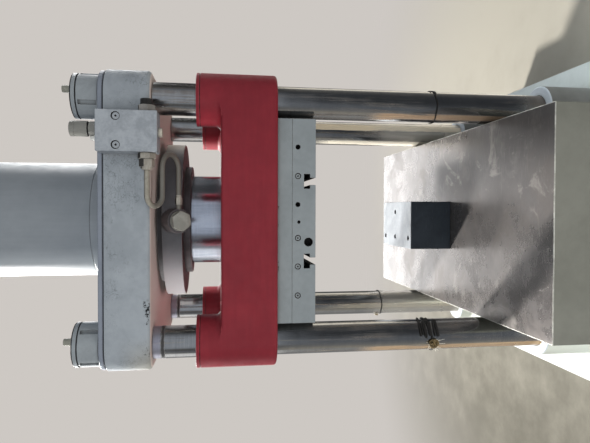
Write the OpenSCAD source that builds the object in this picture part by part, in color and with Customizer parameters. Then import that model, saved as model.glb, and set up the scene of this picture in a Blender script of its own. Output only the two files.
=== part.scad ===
// Four-column die casting press, rebuilt from one photograph.
// Millimetres. Origin on the floor at the middle of the base, X right, Y to the back, Z up.
// Open in OpenSCAD, change the values in the Customizer, pick one piece with "node".

/* [View] */

/* [Base and lower casting] */
// Width of the base, side to side
base_w = 1120; // [1000:5:1200]
// Length of the base, front to back
base_l = 1480; // [1460:5:1600]
// Height of the base
base_h = 330; // [300:5:360]
// Thickness of the base plates
base_wall = 30; // [20:1:40]
// Thickness of the lower casting without its bosses
bolster_t = 148; // [120:1:160]
// Height of the column bosses above the lower casting
bolster_boss_h = 60; // [45:1:75]
// Radius of the corners and bosses around the columns
corner_r = 82; // [78:1:86]

/* [Columns] */
// Diameter of a column
col_d = 100; // [96:1:102]
// Diameter of the threaded column end in the crown
col_thread_d = 90; // [80:1:94]
// Distance of a column from the middle, side to side
col_x = 377; // [377:1:390]
// Distance of a column from the middle, front to back
col_y = 312; // [300:1:320]

/* [Table] */
// Width of the table top
table_w = 640; // [600:2:640]
// Length of the table top
table_l = 1450; // [1300:5:1450]
// Height of the table top above the floor
table_z = 750; // [740:1:770]
// Thickness of the wide part of the table
table_t = 190; // [150:5:200]
// Width of the foot of the table between the bosses
table_foot_w = 560; // [500:2:560]
// Distance of the foot from each end of the table
table_foot_in = 90; // [60:5:140]

/* [Crown] */
// Height of the underside of the crown above the floor
crown_z = 1816; // [1800:1:1830]
// Thickness of the crown
crown_t = 150; // [140:1:160]
// Thickness of the machined strip at its top
crown_strip = 14; // [10:1:20]
// Inset of the machined strip
crown_inset = 4; // [2:1:6]
// Radius of the rounded lower edges of the crown
crown_edge = 14; // [8:1:24]

/* [Column nuts] */
// Outside diameter of a column nut
nut_d = 136; // [130:1:140]
// Height of a column nut
nut_h = 63; // [55:1:70]
// Thickness of the cover on a nut
cover_t = 18; // [14:1:22]
// Width of a spanner notch in a nut
notch_w = 15; // [12:1:18]
// Depth of a spanner notch
notch_deep = 8; // [5:1:10]
// Distance of the notches from both ends of the nut
notch_in = 5; // [3:1:10]
// Turn of the notches of a left nut, in degrees
notch_turn_left = 45; // [0:1:89]
// Turn of the notches of a right nut, in degrees
notch_turn_right = 65; // [0:1:89]
// Diameter of the stub on a cover
stub_d = 22; // [18:1:26]
// Height of the stub
stub_h = 36; // [25:1:45]
// Offset of the stub from the middle of a left nut, to the right
stub_left = 8; // [0:1:24]
// Offset of the stub from the middle of a right nut, to the right
stub_right = 21; // [0:1:24]

/* [Cylinder] */
// Outside diameter of the barrel
cyl_d = 400; // [390:2:410]
// Bore of the barrel
cyl_bore = 340; // [336:1:344]
// Outside diameter of the collar on the crown
collar_d = 404; // [402:1:410]
// Height of the collar
collar_h = 65; // [50:1:80]
// Height of the end of the barrel above the floor
cyl_top = 2410; // [2400:5:2440]
// Thickness of the head of the cylinder
cyl_head_t = 50; // [40:2:60]
// Diameter of the flange under the crown
flange_d = 544; // [530:2:560]
// Diameter of the neck between the flange and the crown
neck_d = 452; // [430:2:480]
// Height of that neck
neck_h = 19; // [15:1:24]
// Height of the flange
flange_t = 64; // [60:1:70]
// Diameter of the gland ring
gland_d = 386; // [370:2:400]
// Height of the gland ring
gland_t = 23; // [18:1:30]
// Diameter of the piston rod
rod_d = 318; // [310:1:318]
// Height of the piston
piston_h = 110; // [90:5:130]
// Height of the piston underside above the floor with the ram up
piston_z = 2190; // [2180:5:2200]

/* [Crosshead] */
// Height of the underside of the crosshead with the ram up
head_z = 1437; // [1430:1:1445]
// Thickness of the crosshead without its bosses
head_t = 172; // [160:1:180]
// Radius of the rounded lower edges of the crosshead
head_edge = 9; // [5:1:16]
// Height of the bosses above the crosshead
head_boss_h = 63; // [50:1:75]
// Thickness of the ring on a boss
ring_t = 12; // [8:1:16]
// Gap between a column and a crosshead bore, all round
col_gap = 0.5; // [0.3:0.1:1]
// Thickness of the spacer plate under the crosshead
spacer_t = 48; // [40:1:55]
// Thickness of the T-slot plate
platen_t = 74; // [66:1:80]
// Width of the platens
platen_w = 640; // [600:2:640]
// Length of the platens
platen_l = 720; // [700:5:760]
// Distance of a T-slot from the middle
slot_x = 125; // [110:1:140]
// Width of the neck of a T-slot
slot_neck = 22; // [18:1:24]
// Depth of the neck of a T-slot
slot_neck_h = 18; // [14:1:22]
// Width of the head of a T-slot
slot_head = 46; // [37:1:48]
// Height of the head of a T-slot
slot_head_h = 19; // [16:1:22]

/* [Valve and pipe] */
// Width of the valve block
valve_w = 116; // [100:1:130]
// Depth of the valve block
valve_l = 76; // [60:1:90]
// Height of the valve block
valve_h = 168; // [160:1:175]
// Distance of the valve block from the middle
valve_x = 255; // [250:1:262]
// Height of the foot of the valve block above the floor
valve_z = 1787; // [1785:1:1790]
// Height of the pipe fittings above the foot of the valve block
valve_port_h = 33; // [30:1:45]
// Length of the hexagon next to the valve block
adapter_l = 17; // [15:1:22]
// Length of the nut on the tube
tube_nut_l = 32; // [28:1:38]
// Length of the hexagon of the hose adapter
hose_hex_l = 20; // [16:1:28]
// Length of its threaded end
hose_end_l = 18; // [14:1:24]
// Height of the hexagon under the relief valve
relief_hex_h = 22; // [18:1:32]
// Size of that hexagon across its corners
relief_hex_d = 42; // [38:1:48]
// Height of the cap on it
relief_cap_h = 52; // [40:1:60]
// Diameter of the cap
relief_cap_d = 44; // [32:1:46]
// Distance of the relief valve from the middle of the block, to the right
relief_x = 7; // [0:1:12]
// Outside diameter of the steel tube
tube_d = 16; // [13:1:17]
// Tilt of the port on the flange below the horizontal, in degrees
port_tilt = 25; // [20:1:30]
// Outside diameter of the port boss
port_d = 77; // [70:1:80]
// Length of the port boss from the flange to its face
port_l = 50; // [46:1:54]
// Distance of the tube from the flange along the port boss
port_reach = 42; // [36:1:44]

/* [Tool block] */
// Width of the block on the table
block_w = 178; // [160:1:190]
// Length of the block
block_l = 330; // [300:5:350]
// Height of the block
block_h = 156; // [150:1:160]
// Distance of the block from the middle, to the right
block_x = -20; // [-60:1:60]
// Distance of the block from the middle, to the back
block_y = 64; // [-60:1:100]
// Distance of its side holes from its middle
hole_dx = 50; // [40:1:60]
// Distance of its end holes from its middle
hole_dy = 135; // [120:1:150]
// Distance of its middle holes from its middle, to the back
hole_mid = 15; // [0:1:30]
// Diameter of the tapped holes
hole_d = 17.5; // [17:0.5:18]
// Depth of the tapped holes
hole_depth = 45; // [30:1:60]

/* [Hidden] */
bol_z = base_h;
bol_top = bol_z + bolster_t;
boss_top = bol_top + bolster_boss_h;
crown_top = crown_z + crown_t;
nut_top = crown_top + nut_h;
outline_w = 2 * (col_x + corner_r);
outline_l = 2 * (col_y + corner_r);
flange_z = crown_z - neck_h - flange_t;
gland_z = flange_z - gland_t;
head_top = head_z + head_t;
head_boss_top = head_top + head_boss_h;
spacer_z = head_z - spacer_t;
platen_z = spacer_z - platen_t;
front_y = -(col_y + corner_r);
valve_front = front_y - valve_l;
valve_mid_y = front_y - valve_l / 2;
port_z = flange_z + flange_t / 2 - 7;
tube_z = valve_z + valve_port_h;
tube_end_x = 80;
tube_end_y = -flange_d / 2 - port_reach * cos(port_tilt);
tube_end_z = port_z - port_reach * sin(port_tilt);
tube_start_x = valve_x - valve_w / 2 - adapter_l - tube_nut_l;
tube_seat = adapter_l + tube_nut_l;
bend_a = [76, 0, 0];
plug_h = 11;
adapter_turn = 5;
tube_nut_turn = -15;
hose_turn = -17;
leg_b = [0, valve_mid_y + 47, tube_z - 38];
bend_c = [160, 0, 0];

module rounded_plate(w, l, t, r) {
  union() {
    translate([-w / 2 + r, -l / 2, 0])
      cube([w - 2 * r, l, t]);
    translate([-w / 2, -l / 2 + r, 0])
      cube([w, l - 2 * r, t]);
    for (sx = [-1, 1], sy = [-1, 1])
      translate([sx * (w / 2 - r), sy * (l / 2 - r), 0])
        cylinder(h = t, r = r, $fn = 64);
  }
}

// A plate with round corners whose lower edges are rounded too. It is built from strips and
// quarter turns of one edge profile that meet face to face.
module edge_profile(reach, t, f) {
  difference() {
    square([reach, t]);
    difference() {
      translate([reach - f, 0])
        square([f, f]);
      translate([reach - f, f])
        circle(r = f, $fn = 48);
    }
  }
}

module soft_plate(w, l, t, r, f) {
  union() {
    translate([-w / 2 + r, -l / 2 + r, 0])
      cube([w - 2 * r, l - 2 * r, t]);
    for (a = [0, 180])
      rotate([0, 0, a]) {
        translate([w / 2 - r, l / 2 - r, 0])
          rotate([90, 0, 0])
            linear_extrude(height = l - 2 * r)
              edge_profile(r, t, f);
        translate([-w / 2 + r, l / 2 - r, 0])
          rotate([90, 0, 90])
            linear_extrude(height = w - 2 * r)
              edge_profile(r, t, f);
      }
    for (c = [[1, 1, 0], [-1, 1, 90], [-1, -1, 180], [1, -1, 270]])
      translate([c[0] * (w / 2 - r), c[1] * (l / 2 - r), 0])
        rotate([0, 0, c[2]])
          rotate_extrude(angle = 90, $fn = 64)
            edge_profile(r, t, f);
  }
}

module at_columns() {
  for (sx = [-1, 1], sy = [-1, 1])
    translate([sx * col_x, sy * col_y, 0])
      children();
}

module tube_of(r, bore, h) {
  difference() {
    cylinder(h = h, r = r, $fn = 64);
    translate([0, 0, -1])
      cylinder(h = h + 2, d = bore, $fn = 64);
  }
}

// The base is welded from five plates and stands open side down.
module base_top() {
  color("gainsboro")
    translate([-base_w / 2, -base_l / 2, base_h - base_wall])
      cube([base_w, base_l, base_wall]);
}

module base_side(sx) {
  color("gainsboro")
    translate([sx * (base_w - base_wall) / 2 - base_wall / 2, -base_l / 2, 0])
      cube([base_wall, base_l, base_h - base_wall]);
}

module base_end(sy) {
  color("gainsboro")
    translate([-base_w / 2 + base_wall, sy * (base_l - base_wall) / 2 - base_wall / 2, 0])
      cube([base_w - 2 * base_wall, base_wall, base_h - base_wall]);
}

module lower_casting() {
  color("lightgray")
    difference() {
      translate([0, 0, bol_z])
        rounded_plate(outline_w, outline_l, bolster_t, corner_r);
      at_columns()
        translate([0, 0, bol_z - 1])
          cylinder(h = bolster_t + 2, d = col_d, $fn = 64);
    }
}

module foot_bosses() {
  color("lightgray")
    at_columns()
      translate([0, 0, bol_top])
        tube_of(corner_r, col_d, bolster_boss_h);
}

module table() {
  color("darkgray")
    union() {
      translate([-table_w / 2, -table_l / 2, table_z - table_t])
        cube([table_w, table_l, table_t]);
      translate([-table_foot_w / 2, -table_l / 2 + table_foot_in, bol_top])
        cube([table_foot_w, table_l - 2 * table_foot_in, table_z - table_t / 2 - bol_top]);
    }
}

// A column has a shoulder under the crown and a thinner end for the nut.
module column(sx, sy) {
  color("silver")
    translate([sx * col_x, sy * col_y, bol_z])
      union() {
        cylinder(h = crown_z - bol_z, d = col_d, $fn = 64);
        cylinder(h = nut_top - bol_z, d = col_thread_d, $fn = 64);
      }
}

module crown() {
  color("slategray")
    difference() {
      union() {
        translate([0, 0, crown_z])
          soft_plate(outline_w, outline_l, crown_t - crown_strip, corner_r, crown_edge);
        translate([0, 0, crown_top - crown_strip])
          rounded_plate(outline_w - 2 * crown_inset, outline_l - 2 * crown_inset,
            crown_strip, corner_r - crown_inset);
      }
      translate([0, 0, crown_z - 1])
        cylinder(h = crown_t + 2, d = cyl_d, $fn = 96);
      at_columns()
        translate([0, 0, crown_z - 1])
          cylinder(h = crown_t + 2, d = col_thread_d, $fn = 64);
    }
}

module column_nut(sx, sy) {
  color("gray")
    translate([sx * col_x, sy * col_y, crown_top])
      difference() {
        cylinder(h = nut_h, d = nut_d, $fn = 64);
        translate([0, 0, -1])
          cylinder(h = nut_h + 2, d = col_thread_d, $fn = 64);
        for (a = [0 : 90 : 270])
          rotate([0, 0, a + (sx < 0 ? notch_turn_left : notch_turn_right)])
            translate([nut_d / 2 - notch_deep, -notch_w / 2, notch_in])
              cube([20, notch_w, nut_h - 2 * notch_in]);
      }
}

module nut_cover(sx, sy) {
  color("darkgray")
    translate([sx * col_x, sy * col_y, nut_top])
      union() {
        cylinder(h = cover_t, d = nut_d, $fn = 64);
        translate([sx < 0 ? stub_left : stub_right, 0, 0])
          cylinder(h = cover_t + stub_h, d = stub_d, $fn = 32);
      }
}

module barrel() {
  color("slategray")
    difference() {
      union() {
        translate([0, 0, flange_z])
          cylinder(h = cyl_top - flange_z, d = cyl_d, $fn = 96);
        translate([0, 0, crown_top])
          cylinder(h = collar_h, d = collar_d, $fn = 96);
      }
      translate([0, 0, flange_z - 1])
        cylinder(h = cyl_top - flange_z + 2, d = cyl_bore, $fn = 96);
    }
}

module barrel_flange() {
  color("lightslategray")
    difference() {
      union() {
        translate([0, 0, flange_z])
          cylinder(h = flange_t, d = flange_d, $fn = 96);
        translate([0, 0, flange_z])
          cylinder(h = flange_t + neck_h, d = neck_d, $fn = 96);
      }
      translate([0, 0, flange_z - 1])
        cylinder(h = flange_t + neck_h + 2, d = cyl_d, $fn = 96);
    }
}

module cylinder_head() {
  color("slategray")
    translate([0, 0, cyl_top])
      union() {
        cylinder(h = cyl_head_t - 12, d = cyl_d, $fn = 96);
        cylinder(h = cyl_head_t, d = cyl_d - 24, $fn = 96);
      }
}

module gland() {
  color("dimgray")
    difference() {
      translate([0, 0, gland_z])
        cylinder(h = gland_t, d = gland_d, $fn = 96);
      translate([0, 0, gland_z - 1])
        cylinder(h = gland_t + 2, d = rod_d + 1, $fn = 96);
    }
}

module piston_rod() {
  color("silver")
    union() {
      translate([0, 0, head_top])
        cylinder(h = piston_z + piston_h - head_top, d = rod_d, $fn = 96);
      translate([0, 0, piston_z])
        cylinder(h = piston_h, d = cyl_bore - 1, $fn = 96);
    }
}

module crosshead() {
  color("firebrick")
    difference() {
      translate([0, 0, head_z])
        soft_plate(outline_w, outline_l, head_t, corner_r, head_edge);
      at_columns()
        translate([0, 0, head_z - 1])
          cylinder(h = head_t + 2, d = col_d + 2 * col_gap, $fn = 64);
    }
}

module head_bosses() {
  color("firebrick")
    at_columns()
      translate([0, 0, head_top])
        tube_of(corner_r, col_d + 2 * col_gap, head_boss_h);
}

module boss_ring(sx, sy) {
  color("maroon")
    translate([sx * col_x, sy * col_y, head_boss_top])
      tube_of(corner_r, col_d + 2 * col_gap, ring_t);
}

module spacer_plate() {
  color("lightslategray")
    translate([-platen_w / 2, -platen_l / 2, spacer_z])
      cube([platen_w, platen_l, spacer_t]);
}

module t_slot_plate() {
  color("lightslategray")
    difference() {
      translate([-platen_w / 2, -platen_l / 2, platen_z])
        cube([platen_w, platen_l, platen_t]);
      for (sx = [-1, 1]) {
        translate([sx * slot_x - slot_neck / 2, -platen_l / 2 - 1, platen_z - 1])
          cube([slot_neck, platen_l + 2, slot_neck_h + 2]);
        translate([sx * slot_x - slot_head / 2, -platen_l / 2 - 1, platen_z + slot_neck_h])
          cube([slot_head, platen_l + 2, slot_head_h]);
      }
    }
}

module valve_block() {
  color("slategray")
    translate([valve_x - valve_w / 2, valve_front, valve_z])
      cube([valve_w, valve_l, valve_h]);
}

module relief_valve() {
  color("gray")
    translate([valve_x + relief_x, valve_mid_y, valve_z + valve_h])
      union() {
        cylinder(h = relief_hex_h, d = relief_hex_d, $fn = 6);
        translate([0, 0, relief_hex_h])
          cylinder(h = relief_cap_h - 3, d = relief_cap_d, $fn = 48);
        translate([0, 0, relief_hex_h])
          cylinder(h = relief_cap_h, d = relief_cap_d - 6, $fn = 48);
      }
}

module valve_plug() {
  color("dimgray")
    translate([valve_x, valve_mid_y, valve_z - plug_h])
      cylinder(h = plug_h, d = 27, $fn = 6);
}

module tube_adapter() {
  color("gray")
    translate([valve_x - valve_w / 2, valve_mid_y, tube_z])
      rotate([0, -90, 0])
        difference() {
          rotate([0, 0, adapter_turn])
            cylinder(h = adapter_l, d = 52, $fn = 6);
          translate([0, 0, -1])
            cylinder(h = adapter_l + 2, d = tube_d, $fn = 32);
        }
}

module tube_nut() {
  color("gray")
    translate([valve_x - valve_w / 2 - adapter_l, valve_mid_y, tube_z])
      rotate([0, -90, 0])
        difference() {
          rotate([0, 0, tube_nut_turn])
            cylinder(h = tube_nut_l, d = 44, $fn = 6);
          translate([0, 0, -1])
            cylinder(h = tube_nut_l + 2, d = tube_d, $fn = 32);
        }
}

module hose_adapter() {
  color("dimgray")
    translate([valve_x + valve_w / 2, valve_mid_y, tube_z])
      rotate([0, 90, 0])
        difference() {
          union() {
            rotate([0, 0, hose_turn])
              cylinder(h = hose_hex_l, d = 52, $fn = 6);
            cylinder(h = hose_hex_l + hose_end_l, d = 36, $fn = 32);
          }
          translate([0, 0, -1])
            cylinder(h = hose_hex_l + hose_end_l + 2, d = 19, $fn = 32);
        }
}

// The tube runs left, turns back to the right, and turns left again into the port.
function between(p, q, t) = p + (q - p) * t;
function u_turn(cx, p, q, side, n) = [
  for (i = [0 : n])
    let (a = 180 * i / n, m = (p + q) / 2, h = (p - q) / 2, r = norm([h[1], h[2]]))
      [cx + side * r * sin(a), m[1] + h[1] * cos(a), m[2] + h[2] * cos(a)]
];
tube_path = concat(
  [[tube_start_x + tube_seat, valve_mid_y, tube_z]],
  u_turn(bend_a[0], [0, valve_mid_y, tube_z], leg_b, -1, 14),
  u_turn(bend_c[0], leg_b, [0, tube_end_y, tube_end_z], 1, 16),
  [[34, tube_end_y, tube_end_z]]);
function tangent(p, i) =
  let (a = p[max(i - 1, 0)], b = p[min(i + 1, len(p) - 1)], d = b - a)
    d / norm(d);
function side_of(t) = let (c = cross(t, [0, 0.9, 0.44])) c / norm(c);
function ring_at(p, i, r, n) =
  let (t = tangent(p, i), s = side_of(t), w = cross(t, s))
    [for (k = [0 : n - 1]) p[i] + r * (cos(360 * k / n) * s + sin(360 * k / n) * w)];

module swept_tube(p, r, n) {
  m = len(p);
  pts = [for (i = [0 : m - 1]) each ring_at(p, i, r, n)];
  sides = [for (i = [0 : m - 2], k = [0 : n - 1])
    [i * n + k, i * n + (k + 1) % n, (i + 1) * n + (k + 1) % n, (i + 1) * n + k]];
  ends = [[for (k = [n - 1 : -1 : 0]) k], [for (k = [0 : n - 1]) (m - 1) * n + k]];
  polyhedron(points = pts, faces = concat(sides, ends), convexity = 6);
}

module s_tube() {
  color("tan")
    swept_tube(tube_path, tube_d / 2, 12);
}

module tube_end_nut() {
  color("gray")
    translate([tube_end_x - 29, tube_end_y, tube_end_z])
      rotate([0, 90, 0])
        difference() {
          cylinder(h = 29, d = 23, $fn = 6);
          translate([0, 0, -1])
            cylinder(h = 31, d = tube_d + 0.6, $fn = 32);
        }
}

module at_port() {
  translate([0, -flange_d / 2, port_z])
    rotate([90 + port_tilt, 0, 0])
      children();
}

module port_boss() {
  color("gray")
    difference() {
      at_port()
        translate([0, 0, -30])
          cylinder(h = port_l + 30, d = port_d, $fn = 64);
      translate([0, 0, flange_z - 40])
        cylinder(h = flange_t + 80, d = flange_d, $fn = 96);
      at_port()
        translate([0, 0, port_l - 30])
          cylinder(h = 60, d = 32, $fn = 32);
      translate([port_d / 2 - 12, tube_end_y, tube_end_z])
        rotate([0, 90, 0])
          cylinder(h = 30, d = tube_d + 0.6, $fn = 32);
    }
}

module port_plug() {
  color("gray")
    at_port()
      translate([0, 0, port_l])
        union() {
          translate([0, 0, -30])
            cylinder(h = 32, d = 32, $fn = 32);
          cylinder(h = 4, d = 62, $fn = 48);
          rotate([0, 0, 8])
            cylinder(h = 24, d = 64, $fn = 6);
        }
}

module tool_block() {
  color("darkslategray")
    translate([block_x, block_y, table_z])
      difference() {
        translate([-block_w / 2, -block_l / 2, 0])
          cube([block_w, block_l, block_h]);
        for (p = [[-hole_dx, -hole_dy], [-hole_dx, hole_mid], [-hole_dx, hole_dy], [hole_dx, hole_mid]])
          translate([p[0], p[1], block_h - hole_depth])
            cylinder(h = hole_depth + 1, d = hole_d, $fn = 32);
      }
}

base_top();
base_side(-1);  // base_side_l
base_side(1);  // base_side_r
base_end(-1);  // base_end_f
base_end(1);  // base_end_b
lower_casting();
foot_bosses();
table();
column(-1, -1);  // column_fl
column(1, -1);  // column_fr
column(-1, 1);  // column_rl
column(1, 1);  // column_rr
crown();
column_nut(-1, -1);  // nut_fl
column_nut(1, -1);  // nut_fr
column_nut(-1, 1);  // nut_rl
column_nut(1, 1);  // nut_rr
nut_cover(-1, -1);  // cover_fl
nut_cover(1, -1);  // cover_fr
nut_cover(-1, 1);  // cover_rl
nut_cover(1, 1);  // cover_rr
barrel();
barrel_flange();
cylinder_head();
gland();
piston_rod();
crosshead();
head_bosses();
boss_ring(-1, -1);  // ring_fl
boss_ring(1, -1);  // ring_fr
boss_ring(-1, 1);  // ring_rl
boss_ring(1, 1);  // ring_rr
spacer_plate();
t_slot_plate();
valve_block();
relief_valve();
valve_plug();
tube_adapter();
tube_nut();
s_tube();
tube_end_nut();
port_boss();
port_plug();
hose_adapter();
tool_block();
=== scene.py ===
# Finish, small fittings and studio for a four-column die casting press.
# Everything is in metres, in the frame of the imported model: X right, Y to the back, Z up.
import math
import random

import bmesh
import bpy
from mathutils import Matrix, Vector


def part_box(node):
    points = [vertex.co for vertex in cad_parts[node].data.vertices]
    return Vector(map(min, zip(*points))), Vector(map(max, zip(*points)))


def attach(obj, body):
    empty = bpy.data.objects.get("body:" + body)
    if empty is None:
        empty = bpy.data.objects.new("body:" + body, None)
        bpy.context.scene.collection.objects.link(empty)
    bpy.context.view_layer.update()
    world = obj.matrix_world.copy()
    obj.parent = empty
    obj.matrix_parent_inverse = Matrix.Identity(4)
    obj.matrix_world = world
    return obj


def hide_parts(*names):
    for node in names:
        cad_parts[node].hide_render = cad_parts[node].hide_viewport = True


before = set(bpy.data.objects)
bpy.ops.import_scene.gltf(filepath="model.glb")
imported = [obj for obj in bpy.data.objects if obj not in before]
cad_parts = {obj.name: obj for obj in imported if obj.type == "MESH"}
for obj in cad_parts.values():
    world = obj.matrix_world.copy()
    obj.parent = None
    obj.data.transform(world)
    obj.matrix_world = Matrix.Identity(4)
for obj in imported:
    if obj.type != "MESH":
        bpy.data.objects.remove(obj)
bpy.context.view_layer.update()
print("packed model loaded:", len(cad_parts), "nodes")

random.seed(11)
scene = bpy.context.scene
scene.view_settings.view_transform = "Standard"
sides = {"fl": (-1, -1), "fr": (1, -1), "rl": (-1, 1), "rr": (1, 1)}
fixedBody = "press_frame"
movingBody = "ram"
past = 0.01  # How far a cutter stands out of what it cuts


def boxOf(node):
    low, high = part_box(node)
    return Vector(low), Vector(high)


def middleOf(node):
    low, high = boxOf(node)
    return (low + high) / 2


def sizeOf(node):
    low, high = boxOf(node)
    return high - low


def tone(red, green, blue):
    # An sRGB colour written in 0 to 255, as the linear colour that the shaders take
    linear = []
    for part in (red, green, blue):
        part = part / 255
        linear.append(part / 12.92 if part <= 0.04045 else ((part + 0.055) / 1.055) ** 2.4)
    return (*linear, 1)


# Shapes

def reachOf(shape, angle):
    # A shape is a radius, ("hex", distance across flats) or a function of the angle
    if callable(shape):
        return shape(angle)
    if isinstance(shape, tuple):
        sixth = math.pi / 3
        return shape[1] / 2 / math.cos(angle % sixth - sixth / 2)
    return shape


def spin(rings, steps=96, closed=False):
    # Rings of (shape, height) from one end to the other; shape 0 is a point on the axis
    bm = bmesh.new()
    loops = []
    for shape, height in rings:
        if shape == 0:
            loops.append([bm.verts.new((0, 0, height))])
            continue
        loop = []
        for i in range(steps):
            angle = 2 * math.pi * i / steps
            reach = reachOf(shape, angle)
            level = height(angle) if callable(height) else height
            loop.append(bm.verts.new((reach * math.cos(angle), reach * math.sin(angle), level)))
        loops.append(loop)
    pairs = list(zip(loops, loops[1:]))
    if closed:
        pairs.append((loops[-1], loops[0]))
    for lower, upper in pairs:
        for i in range(steps):
            j = (i + 1) % steps
            quad = [lower[i % len(lower)], lower[j % len(lower)], upper[j % len(upper)],
                    upper[i % len(upper)]]
            bm.faces.new(list(dict.fromkeys(quad)))
    return bm


def softened(points, steps):
    # Points of (x, y, radius): each corner becomes an arc of that radius
    made = []
    for i, (x, y, radius) in enumerate(points):
        here = Vector((x, y))
        if radius == 0:
            made.append((x, y))
            continue
        before = (Vector(points[i - 1][:2]) - here).normalized()
        after = (Vector(points[(i + 1) % len(points)][:2]) - here).normalized()
        half = before.angle(after) / 2
        centre = here + (before + after).normalized() * radius / math.sin(half)
        first = here + before * radius / math.tan(half) - centre
        last = here + after * radius / math.tan(half) - centre
        start = math.atan2(first.y, first.x)
        turn = (math.atan2(last.y, last.x) - start + math.pi) % (2 * math.pi) - math.pi
        for k in range(steps + 1):
            angle = start + turn * k / steps
            made.append((centre.x + radius * math.cos(angle), centre.y + radius * math.sin(angle)))
    return made


def roundedLoop(bm, width, length, radius, height, cornerSteps=24):
    loop = []
    for i, (sx, sy) in enumerate(((1, 1), (-1, 1), (-1, -1), (1, -1))):
        for k in range(cornerSteps + 1):
            angle = math.radians(90 * i + 90 * k / cornerSteps)
            x = sx * (width / 2 - radius) + radius * math.cos(angle)
            y = sy * (length / 2 - radius) + radius * math.sin(angle)
            loop.append(bm.verts.new((x, y, height)))
    return loop


def roundedPlate(width, length, radius, levels):
    # Levels of (inset, height) from the bottom up
    bm = bmesh.new()
    loops = [roundedLoop(bm, width - 2 * inset, length - 2 * inset, radius - inset, height)
             for inset, height in levels]
    for lower, upper in zip(loops, loops[1:]):
        for i in range(len(lower)):
            j = (i + 1) % len(lower)
            bm.faces.new((lower[i], lower[j], upper[j], upper[i]))
    bm.faces.new(list(reversed(loops[0])))
    bm.faces.new(loops[-1])
    return bm


def roundedOff(radius, height, across, along, steps):
    # Rings of a quarter round, from the side of a turned piece over to its end
    turns = [math.radians(90 * k / steps) for k in range(steps + 1)]
    return [(radius - across * (1 - math.cos(turn)), height - along * (1 - math.sin(turn)))
            for turn in turns]


def filletRings(radius, height, reach, steps):
    # Rings of a hollow quarter round, from a flat face up to the side that stands on it
    turns = [math.radians(90 * k / steps) for k in range(steps + 1)]
    return [(radius + reach * (1 - math.sin(turn)), height + reach * (1 - math.cos(turn)))
            for turn in turns]


def edgeLevels(low, high, roundLow, roundHigh, steps=6):
    return filletRings(0, low, roundLow, steps) + roundedOff(0, high, -roundHigh, roundHigh, steps)


def softBox(low, high, bevel, segments=3):
    bm = bmesh.new()
    bmesh.ops.create_cube(bm, size=1)
    size = high - low
    bmesh.ops.transform(bm, matrix=Matrix.Translation((low + high) / 2) @ Matrix.Diagonal((*size, 1)),
                        verts=bm.verts)
    bmesh.ops.bevel(bm, geom=bm.edges[:], offset=bevel, segments=segments, profile=0.5, affect="EDGES")
    return bm


def extruded(outline, start, end):
    # An outline in X and Z, drawn out along Y
    bm = bmesh.new()
    near = [bm.verts.new((x, start, z)) for x, z in outline]
    far = [bm.verts.new((x, end, z)) for x, z in outline]
    for i in range(len(outline)):
        j = (i + 1) % len(outline)
        bm.faces.new((near[i], near[j], far[j], far[i]))
    bm.faces.new(near)
    bm.faces.new(list(reversed(far)))
    return bm


def sweep(path, radius, sides):
    # A tube along the path; the radius may be a list, one value for each point
    bm = bmesh.new()
    points = [Vector(point) for point in path]
    loops = []
    side = None
    for i, point in enumerate(points):
        along = (points[min(i + 1, len(points) - 1)] - points[max(i - 1, 0)]).normalized()
        if side is None:
            side = along.orthogonal().normalized()
        side = (side - along * side.dot(along)).normalized()
        across = along.cross(side)
        reach = radius[i] if isinstance(radius, list) else radius
        ring = []
        for k in range(sides):
            turn = 2 * math.pi * k / sides
            ring.append(bm.verts.new(point + reach * (math.cos(turn) * side + math.sin(turn) * across)))
        loops.append(ring)
    for lower, upper in zip(loops, loops[1:]):
        for k in range(sides):
            bm.faces.new((lower[k], lower[(k + 1) % sides], upper[(k + 1) % sides], upper[k]))
    bm.faces.new(list(reversed(loops[0])))
    bm.faces.new(loops[-1])
    return bm


def hexRings(across, low, high, bevelLow=True):
    # A hexagon whose ends are turned to a cone, as on a bolt head
    flat = across / 2 * 0.98
    shape = ("hex", across)

    def cut(angle):
        return max(0, reachOf(shape, angle) - flat) * 0.55

    rings = [(flat, low), (shape, lambda angle: low + cut(angle))] if bevelLow else [(shape, low)]
    return rings + [(shape, lambda angle: high - cut(angle)), (flat, high)]


def socketHead(radius, height, key, depth):
    # Head of a socket screw, standing on its axis, with a hexagonal recess
    shape = ("hex", key)
    edge = radius * 0.08
    return spin([(0, 0), (radius, 0), (radius, height - edge), (radius - edge, height),
                 (key / 2 * 1.25, height), (shape, height - edge * 0.6), (shape, height - depth),
                 (0, height - depth)], 60)


def addPart(target, part, place=None, finish=0):
    # Moves a part into another one; its finish is a number, or a function of a face's own middle
    bmesh.ops.recalc_face_normals(part, faces=part.faces)
    for face in part.faces:
        face.material_index = int(finish(face.calc_center_median())) if callable(finish) else finish
    if place is not None:
        bmesh.ops.transform(part, matrix=place, verts=part.verts)
    carrier = bpy.data.meshes.new("carrier")
    part.to_mesh(carrier)
    part.free()
    target.from_mesh(carrier)
    bpy.data.meshes.remove(carrier)
    return target


def moved(x, y, z):
    return Matrix.Translation((x, y, z))


def facing(direction, place):
    # Turns a part's own Z to the direction and puts it at the place
    turn = Vector((0, 0, 1)).rotation_difference(Vector(direction))
    return Matrix.Translation(place) @ turn.to_matrix().to_4x4()


def bakeModifiers(piece):
    graph = bpy.context.evaluated_depsgraph_get()
    mesh = bpy.data.meshes.new_from_object(piece.evaluated_get(graph))
    piece.modifiers.clear()
    piece.data = mesh


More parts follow.
